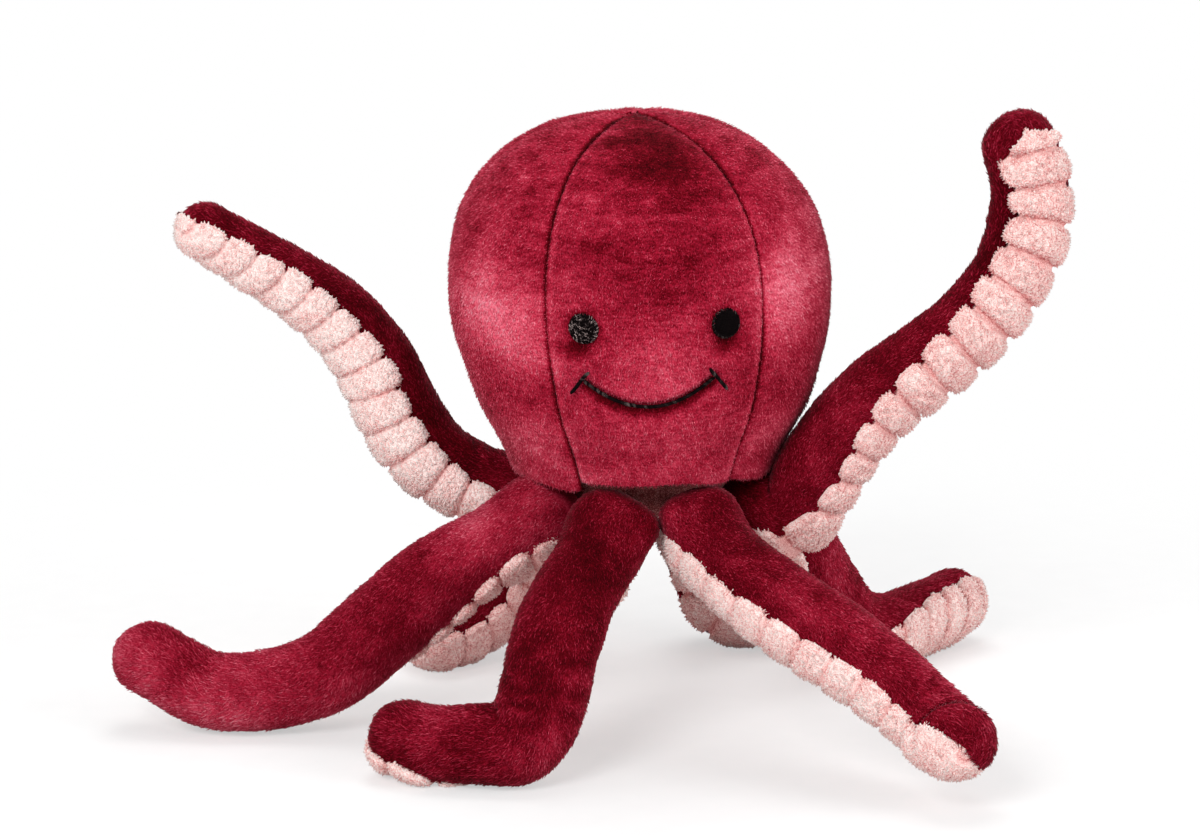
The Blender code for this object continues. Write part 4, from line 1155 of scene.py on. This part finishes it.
def make_limb_underside(name, number, route):
    """Curly pink ribs with strips of bare knit between them."""
    length, tip = route[2][-1], route[3]
    straight = length - tip
    ribs = max(2, round(straight / RIB_PITCH))
    pitch = straight / ribs
    rng = np.random.default_rng(300 + number)
    heights = rng.uniform(0.85, 1.15, ribs + 3)
    reaches = rng.uniform(0.7, 1.25, ribs + 3)
    slant_root, slant_tip = RIB_SLANTS.get(name, (0.001, 0.001))
    knit = KNIT_SHARES.get(name, KNIT_SHARE)
    bulge = EDGE_BULGES.get(name, 0.16)
    store = {}

    def rib(place):
        index = np.clip(np.floor(place).astype(int), 0, ribs + 1)
        x = (2 * (place - np.floor(place)) - 1) / (1 - knit)
        return index, x, np.sqrt(np.clip(1 - np.abs(x) ** 3.2, 0, 1))

    def slanted(distance, turned):
        amount = slant_root + (slant_tip - slant_root) * smoothstep(distance / length, 0.1, 0.9)
        return distance + amount * np.sin(turned)

    def edges(distance):
        # each rib bulges over the edge of the plush by its own amount
        minus, plus = seam_turns(name, route, distance)
        end = 1 - smoothstep(distance, straight, length)
        index, _, roll = rib(slanted(distance, -1.4) / pitch)
        first = math.pi / 2 + plus - bulge * roll * reaches[index] * end
        index, _, roll = rib(slanted(distance, 1.4) / pitch)
        last = math.pi * 1.5 - minus + bulge * roll * reaches[index] * end
        return first, last

    def offset(distance, angle, points):
        turned = angle - math.pi
        wander = 0.0010 * noise(points, 0.02, 200 + number) * np.cos(turned)
        index, x, roll = rib((slanted(distance, turned) + wander) / pitch)
        grow = smoothstep(distance, 0.0, 0.02) * (1 - 0.55 * smoothstep(distance, straight + 0.006, length))
        first, last = edges(distance[:, 0])
        edge = np.maximum(np.minimum(angle - first[:, None], last[:, None] - angle), 0) * MIDDLE_RADIUS
        crest = (RIB_HEIGHT + CREST_LIFTS.get(name, 0.0004)) * heights[index]
        groove = GROOVE_LIFTS.get(name, -0.0006)
        body = (groove + (crest - groove) * roll - 0.0004 * x * roll) * grow
        body = body + ROOT_SWELL * (1 - smoothstep(distance, 0.004, 0.03))
        curls = noise(points, 0.0021, 211) * 0.55 + noise(points, 0.0013, 212) * 0.45
        lumps = 0.0004 * noise(points, 0.012, 213)
        pile = smoothstep(roll, 0.0, 0.75)
        # painted shadow at the edges of each rib, deepest on its root side where it overhangs the next
        under = np.exp(-((x + 1) / 0.13) ** 2) + 0.3 * np.exp(-((x - 1) / 0.12) ** 2)
        store["tone"] = np.clip(0.34 + 0.18 * pile - 0.30 * under + PINK_PAINTED_LIGHT_TONES.get(name, 0.0)
                                + 0.20 * curls * pile + 0.09 * noise(points, 0.006, 214), 0, 1)
        store["roll"], store["edge"], store["pile"] = roll, edge, pile
        return body + 0.00035 * curls * pile + lumps - 0.0030 * np.exp(-(edge / 0.0013) ** 2)

    grid, distance, angle, tangent, outward = limb_grid(route, edges, 56, 0.0010, offset)
    normals, quads = oriented(grid, outward)
    shell = Shell()
    # painted shade on pile that faces downwards
    store["tone"] = np.clip(store["tone"] + 0.17 * np.minimum(normals[..., 2] + 0.1, 0), 0, 1)
    flat = np.stack([angle, distance, np.full(grid.shape[:2], 0.35)], -1)
    shell.add(grid.reshape(-1, 3), quads, normals.reshape(-1, 3), flat.reshape(-1, 3), store["tone"].ravel())

    r, c, u, v, rng = scatter_on_grid(grid, 0.00128, 350 + number)
    roll = at(store["roll"], r, c, u, v)
    keep = (roll > 0.45) & (at(distance, r, c, u, v) > -0.3 * ROOT_RADIUS) & (at(store["edge"], r, c, u, v) > 0.0006)
    r, c, u, v = (x[keep] for x in (r, c, u, v))
    roots, normal = at(grid, r, c, u, v), unit(at(normals, r, c, u, v))
    along = unit(tangent[r])
    side = unit(np.cross(normal, along))
    turn = 2.2 * noise(roots, 0.007, 360 + number) + 0.7 * rng.standard_normal(len(r)) + 1.57
    flow = unit(along * np.cos(turn)[:, None] + side * np.sin(turn)[:, None])
    long = CURL_LENGTH * (0.65 + 0.7 * rng.random(len(r)))
    width = CURL_WIDTH * (0.75 + 0.5 * rng.random(len(r)))
    height = CURL_HEIGHT * (0.5 + rng.random(len(r)))
    add_nubs(shell, roots, normal, flow, long, width, height, at(store["tone"], r, c, u, v), rng, CURL_PAINTED_SHADES)
    shell.points[-1][:, 2] = np.maximum(shell.points[-1][:, 2], FLOOR_CLEARANCE)
    node = name + "_tentacle_underside"
    return shell.build("sherpa_" + node, SHERPA, name + "_tentacle", (node,))


def make_base_cover():
    """The pink panel between the roots: a flange under the hem and a shallow cup."""
    rows = []
    top = HEM_HEIGHT + HEM_LIFT + FRONT_HEM_LIFT
    for radius, height in ((HEM_RADIUS - 0.009, top), (NECK_RADIUS + 0.004, top),
                           (NECK_RADIUS, HEM_HEIGHT - 0.002), (NECK_RADIUS, NECK_BOTTOM + 0.003),
                           (NECK_RADIUS - 0.003, NECK_BOTTOM), (0.0005, NECK_BOTTOM - BASE_PANEL_SAG)):
        rows.append((radius, height))
    rows = np.array(rows)
    run = np.concatenate([[0], np.cumsum(np.linalg.norm(np.diff(rows, axis=0), axis=1))])
    marks = np.linspace(0, run[-1], 90)
    radius, height = np.interp(marks, run, rows[:, 0]), np.interp(marks, run, rows[:, 1])
    turns = np.linspace(0, 2 * math.pi, 220, endpoint=False)
    grid = np.stack([radius[:, None] * np.sin(turns) + MIDDLE[0], -radius[:, None] * np.cos(turns) + MIDDLE[1],
                     height[:, None] * np.ones((1, len(turns)))], -1)
    normals = grid_normals(grid, True)
    centre = np.array([MIDDLE[0], MIDDLE[1], HEM_HEIGHT])
    outward = np.mean(np.sum(normals * (grid - centre), -1)) > 0
    if not outward:
        normals = -normals
    curls = noise(grid, 0.0021, 221) * 0.55 + noise(grid, 0.0012, 222) * 0.45
    grid = grid + normals * (0.0004 * curls)[..., None]
    quads = grid_quads(len(marks), len(turns), 0, True)
    if outward:
        quads = quads[:, ::-1]
    shell = Shell()
    # painted shade: the panel's tone is kept low, as it lies in shade under the hem
    shell.add(grid.reshape(-1, 3), quads, normals.reshape(-1, 3), None, np.clip(0.2 * curls, 0, 1).ravel())
    return shell.build("sherpa_base_panel", SHERPA, "head", ("base_panel",))


# ---------------------------------------------------------------------------
# Embroidery
# ---------------------------------------------------------------------------
def add_strand(shell, path, radius, ids, sides=6, up=None):
    """A thread along a path, thinned at both ends."""
    path = np.asarray(path, float)
    tangent = unit(np.gradient(path, axis=0))
    helper = np.array([0.0, 0.0, 1.0]) if up is None else up
    side = unit(np.cross(tangent, helper))
    out = np.cross(side, tangent)
    share = np.linspace(0, 1, len(path))
    thick = radius * np.sqrt(np.clip(1 - (2 * share - 1) ** 6, 0.03, 1))
    turns = np.linspace(0, 2 * math.pi, sides, endpoint=False)
    ring = side[:, None] * np.cos(turns)[None, :, None] + out[:, None] * np.sin(turns)[None, :, None]
    grid = path[:, None] + ring * thick[:, None, None]
    quads = grid_quads(len(path), sides, 0, True)[:, ::-1]
    caps = []
    for row in (0, len(path) - 1):
        start = row * sides
        for k in range(1, sides - 1):
            tri = (start, start + k, start + k + 1)
            caps.append(tri if row else tri[::-1])
    strand = np.stack([np.broadcast_to(np.linspace(0, 1, sides), (len(path), sides)),
                       np.broadcast_to(share[:, None], (len(path), sides)), np.full((len(path), sides), ids)], -1)
    shell.add(grid.reshape(-1, 3), quads, ring.reshape(-1, 3), strand.reshape(-1, 3), 0.5)
    start = np.array(caps)
    shell.tris.append(start + shell.count - len(path) * sides)


def face_frame(across, height, lift=0.0):
    """Point, normal, across and up directions on the face, at arc length across and height."""
    across = np.asarray(across, float)
    run = run_at_height(height + across * FACE_TILT)
    angle = (across + FACE_ASIDE) / HEAD_RADIUS
    share = (angle / FACE_HALF + 1) / 2
    puff = PANEL_PUFF * (1 - (2 * share - 1) ** 2)
    offset = puff - face_dents(run, angle) + lift - (HEAD_SINK - PLUSH_SINK)
    point = head_surface(run, angle, offset)
    step = 0.0006
    right = unit(head_surface(run, angle + step / HEAD_RADIUS, offset) - point)
    upward = unit(head_surface(run + step, angle, offset) - point)
    return point, unit(np.cross(right, upward)), right, upward


def make_eye(name, side):
    across = side * math.radians(EYE_ANGLE_DEG) * HEAD_RADIUS
    point, normal, right, upward = face_frame(across, EYE_HEIGHT)
    point = point - normal * 0.0007
    rng = np.random.default_rng(400 + side)
    shell = Shell()

    def dome(r):
        return 0.0016 * np.sqrt(np.clip(1 - (r / EYE_RADIUS) ** 2.4, 0, 1))

    rings, spokes = 14, 48
    radii = np.linspace(0.0001, EYE_RADIUS, rings)
    turns = np.linspace(0, 2 * math.pi, spokes, endpoint=False)
    x, y = radii[:, None] * np.cos(turns), radii[:, None] * np.sin(turns)
    grid = point + right * x[..., None] + upward * y[..., None] + normal * (dome(radii)[:, None] * np.ones_like(x))[..., None]
    normals = grid_normals(grid, True)
    quads = grid_quads(rings, spokes, 0, True)
    if np.mean(normals @ normal) < 0:
        normals = -normals
    else:
        quads = quads[:, ::-1]
    shell.add(grid.reshape(-1, 3), quads, normals.reshape(-1, 3),
              np.stack([np.zeros(x.shape), np.zeros(x.shape), np.full(x.shape, 0.2)], -1).reshape(-1, 3), 0.3)

    def thread(x0, y0, x1, y1, radius, lift, ids):
        t = np.linspace(0, 1, 8)
        xs, ys = x0 + (x1 - x0) * t, y0 + (y1 - y0) * t
        r = np.minimum(np.hypot(xs, ys), EYE_RADIUS)
        rise = dome(r) + lift + 0.00016 * np.sin(math.pi * t)
        rise[0] -= 0.0004
        rise[-1] -= 0.0004
        add_strand(shell, point + np.outer(xs, right) + np.outer(ys, upward) + np.outer(rise, normal), radius, ids, 6, normal)

    if side < 0:
        # short stitches in every direction catch the light as specks, with painted glints in their colour
        for _ in range(330):
            r = EYE_RADIUS * math.sqrt(rng.random()) * 0.93
            turn = rng.random() * 2 * math.pi
            along = rng.random() * math.pi
            half = rng.uniform(0.0006, 0.0011)
            cx, cy = r * math.cos(turn), r * math.sin(turn)
            dx, dy = half * math.cos(along), half * math.sin(along)
            thread(cx - dx, cy - dy, cx + dx, cy + dy, rng.uniform(0.00014, 0.0002), rng.uniform(-0.00005, 0.00015), rng.random())
    else:
        # satin stitches lie side by side, slightly slanted
        slant = math.radians(68)
        cos, sin = math.cos(slant), math.sin(slant)
        for k in np.linspace(-1, 1, 37):
            w = k * EYE_RADIUS * 0.95
            half = math.sqrt(max(EYE_RADIUS ** 2 - w * w, 0)) * rng.uniform(0.97, 1.02)
            thread(-w * sin - half * cos, w * cos - half * sin, -w * sin + half * cos, w * cos + half * sin,
                   0.00019, 0.0, 0.35 * rng.random())
    # a rim of stitches round the edge
    for k in range(64):
        turn = (k + 0.3 * rng.random()) / 64 * 2 * math.pi
        a, b = EYE_RADIUS * 0.86, EYE_RADIUS * rng.uniform(1.0, 1.05)
        twist = turn + 0.16
        thread(a * math.cos(turn), a * math.sin(turn), b * math.cos(twist), b * math.sin(twist), 0.0002, 0.0, 0.3 + 0.7 * rng.random())
    material = THREAD_PAINTED_GLINTS if side < 0 else THREAD_SATIN
    return shell.build("stitched_" + name, material, "head", (name,))


def stem_stitches(shell, path, rng):
    """Short slanted stitches that overlap along a line of the face."""
    path = np.asarray(path, float)
    run = np.concatenate([[0], np.cumsum(np.linalg.norm(np.diff(path, axis=0), axis=1))])
    step = 0.00135
    for start in np.arange(-0.0004, run[-1] - 0.0012, step):
        a, b = max(start, 0), min(start + 0.0034, run[-1])
        marks = np.linspace(a, b, 7)
        xs, hs = np.interp(marks, run, path[:, 0]), np.interp(marks, run, path[:, 1])
        direction = unit(np.array([xs[-1] - xs[0], hs[-1] - hs[0]]))
        sidestep = np.linspace(0.00028, -0.00028, 7) + rng.normal(0, 0.00004)
        xs = xs - direction[1] * sidestep
        hs = hs + direction[0] * sidestep
        lift = 0.0008 + 0.00035 * np.sin(np.linspace(0, math.pi, 7)) - 0.0004 * np.abs(np.linspace(-1, 1, 7)) ** 4
        points, normal, _, _ = face_frame(xs + SMILE_ASIDE, hs, lift)
        add_strand(shell, points, 0.00074, float(rng.random()), 7, normal[3])


def make_smile():
    rng = np.random.default_rng(500)
    shell = Shell()
    across = np.linspace(-SMILE_REACH, SMILE_REACH, 60)
    stem_stitches(shell, np.stack([across, smile_height(across)], -1), rng)
    shell.build("stitched_smile_line", THREAD_SATIN, "head", ("smile_line",))
    slant = math.radians(TICK_SLANT_DEG)
    for name, side in (("smile_tick_left", -1), ("smile_tick_right", 1)):
        shell = Shell()
        along = np.linspace(-0.5, 0.5, 20) * TICK_LENGTH
        across = side * (SMILE_REACH + 0.0012 - along * math.sin(slant))
        stem_stitches(shell, np.stack([across, SMILE_CORNER_HEIGHT + along * math.cos(slant)], -1), rng)
        shell.build("stitched_" + name, THREAD_SATIN, "head", (name,))


# ---------------------------------------------------------------------------
# Floor, lights and camera
# ---------------------------------------------------------------------------
def make_stage():
    bpy.ops.mesh.primitive_plane_add(size=8.0, location=(0, 0, -0.0002))
    floor = bpy.context.object
    floor.name = "floor"
    m = Nodes("pale_floor")
    nodes, shader = m.tree.nodes, m.shader
    grain = m.noise(60.0, 2.0)
    m.link(m.ramp(grain, ((0.3, (0.90, 0.90, 0.90)), (0.7, (0.93, 0.93, 0.93)))), shader.inputs["Base Color"])
    shader.inputs["Roughness"].default_value = 0.9
    place = m.new("ShaderNodeTexCoord").outputs["Object"]
    far = m.new("ShaderNodeVectorMath", operation="LENGTH")
    m.link(place, far.inputs[0])
    spread = m.new("ShaderNodeMapRange", interpolation_type="SMOOTHSTEP")
    spread.inputs["From Min"].default_value = 0.22
    spread.inputs["From Max"].default_value = 0.62
    spread.inputs["To Min"].default_value = 0.5
    spread.inputs["To Max"].default_value = 1.0
    m.link(far.outputs["Value"], spread.inputs["Value"])
    path = m.new("ShaderNodeLightPath")
    seen = m.math("MAXIMUM", m.math("MAXIMUM", path.outputs["Is Camera Ray"], path.outputs["Is Glossy Ray"]),
                  path.outputs["Is Transmission Ray"])
    white = m.new("ShaderNodeEmission")
    mixed = m.new("ShaderNodeMixShader")
    m.link(m.math("MULTIPLY", seen, spread.outputs["Result"]), mixed.inputs[0])
    m.link(shader.outputs[0], mixed.inputs[1])
    m.link(white.outputs[0], mixed.inputs[2])
    m.link(mixed.outputs[0], nodes["Material Output"].inputs["Surface"])
    floor.data.materials.append(m.material)

    world = bpy.data.worlds.new("studio")
    bpy.context.scene.world = world
    world.use_nodes = True
    tree = world.node_tree
    tree.nodes.clear()
    path = tree.nodes.new("ShaderNodeLightPath")
    soft = tree.nodes.new("ShaderNodeBackground")
    soft.inputs["Color"].default_value = (1.0, 1.0, 1.0, 1.0)
    soft.inputs["Strength"].default_value = 0.42
    white = tree.nodes.new("ShaderNodeBackground")
    white.inputs["Color"].default_value = (1.0, 1.0, 1.0, 1.0)
    white.inputs["Strength"].default_value = 1.0
    most = tree.nodes.new("ShaderNodeMath")
    most.operation = "MAXIMUM"
    more = tree.nodes.new("ShaderNodeMath")
    more.operation = "MAXIMUM"
    tree.links.new(path.outputs["Is Camera Ray"], most.inputs[0])
    tree.links.new(path.outputs["Is Glossy Ray"], most.inputs[1])
    tree.links.new(most.outputs[0], more.inputs[0])
    tree.links.new(path.outputs["Is Transmission Ray"], more.inputs[1])
    mix = tree.nodes.new("ShaderNodeMixShader")
    out = tree.nodes.new("ShaderNodeOutputWorld")
    tree.links.new(more.outputs[0], mix.inputs[0])
    tree.links.new(soft.outputs[0], mix.inputs[1])
    tree.links.new(white.outputs[0], mix.inputs[2])
    tree.links.new(mix.outputs[0], out.inputs[0])

    def area(name, place, size, power):
        light = bpy.data.lights.new(name, "AREA")
        light.shape = "DISK"
        light.size = size
        light.energy = power
        lamp = bpy.data.objects.new(name, light)
        lamp.location = place
        aim = Vector((0, 0, 0.12)) - Vector(place)
        lamp.rotation_mode = "QUATERNION"
        lamp.rotation_quaternion = aim.to_track_quat("-Z", "Y")
        bpy.context.scene.collection.objects.link(lamp)

    area("key", (-0.9, -1.5, 1.3), 0.9, 26.0)
    area("fill", (1.5, -0.9, 0.8), 1.1, 13.0)
    area("top", (0.1, 0.5, 1.8), 1.2, 14.0)


def make_camera():
    turn, rise, distance, width = math.radians(-5), math.radians(13), 1.6, 0.54
    right = Vector((math.cos(turn), math.sin(turn), 0))
    forward = Vector((-math.sin(turn), math.cos(turn), 0))
    upward = forward * math.sin(rise) + Vector((0, 0, 1)) * math.cos(rise)
    look = forward * math.cos(rise) - Vector((0, 0, 1)) * math.sin(rise)
    target = Vector(MIDDLE) - right * 0.0195 + upward * 0.129
    camera = bpy.data.cameras.new("camera")
    camera.sensor_width = 36.0
    camera.lens = 36.0 * distance / width
    camera.clip_start, camera.clip_end = 0.1, 20.0
    thing = bpy.data.objects.new("camera", camera)
    thing.location = target - look * distance
    thing.rotation_mode = "QUATERNION"
    thing.rotation_quaternion = look.to_track_quat("-Z", "Y")
    bpy.context.scene.collection.objects.link(thing)
    bpy.context.scene.camera = thing


make_stage()
make_camera()
bpy.context.scene.view_settings.view_transform = "Standard"
make_head()
make_base_cover()
make_eye("eye_left", -1)
make_eye("eye_right", 1)
make_smile()
for number, name in enumerate(ROUTE_SHARES):
    route = settled_route(name)
    make_limb_top(name, number, route)
    make_limb_underside(name, number, route)

bpy.context.view_layer.update()
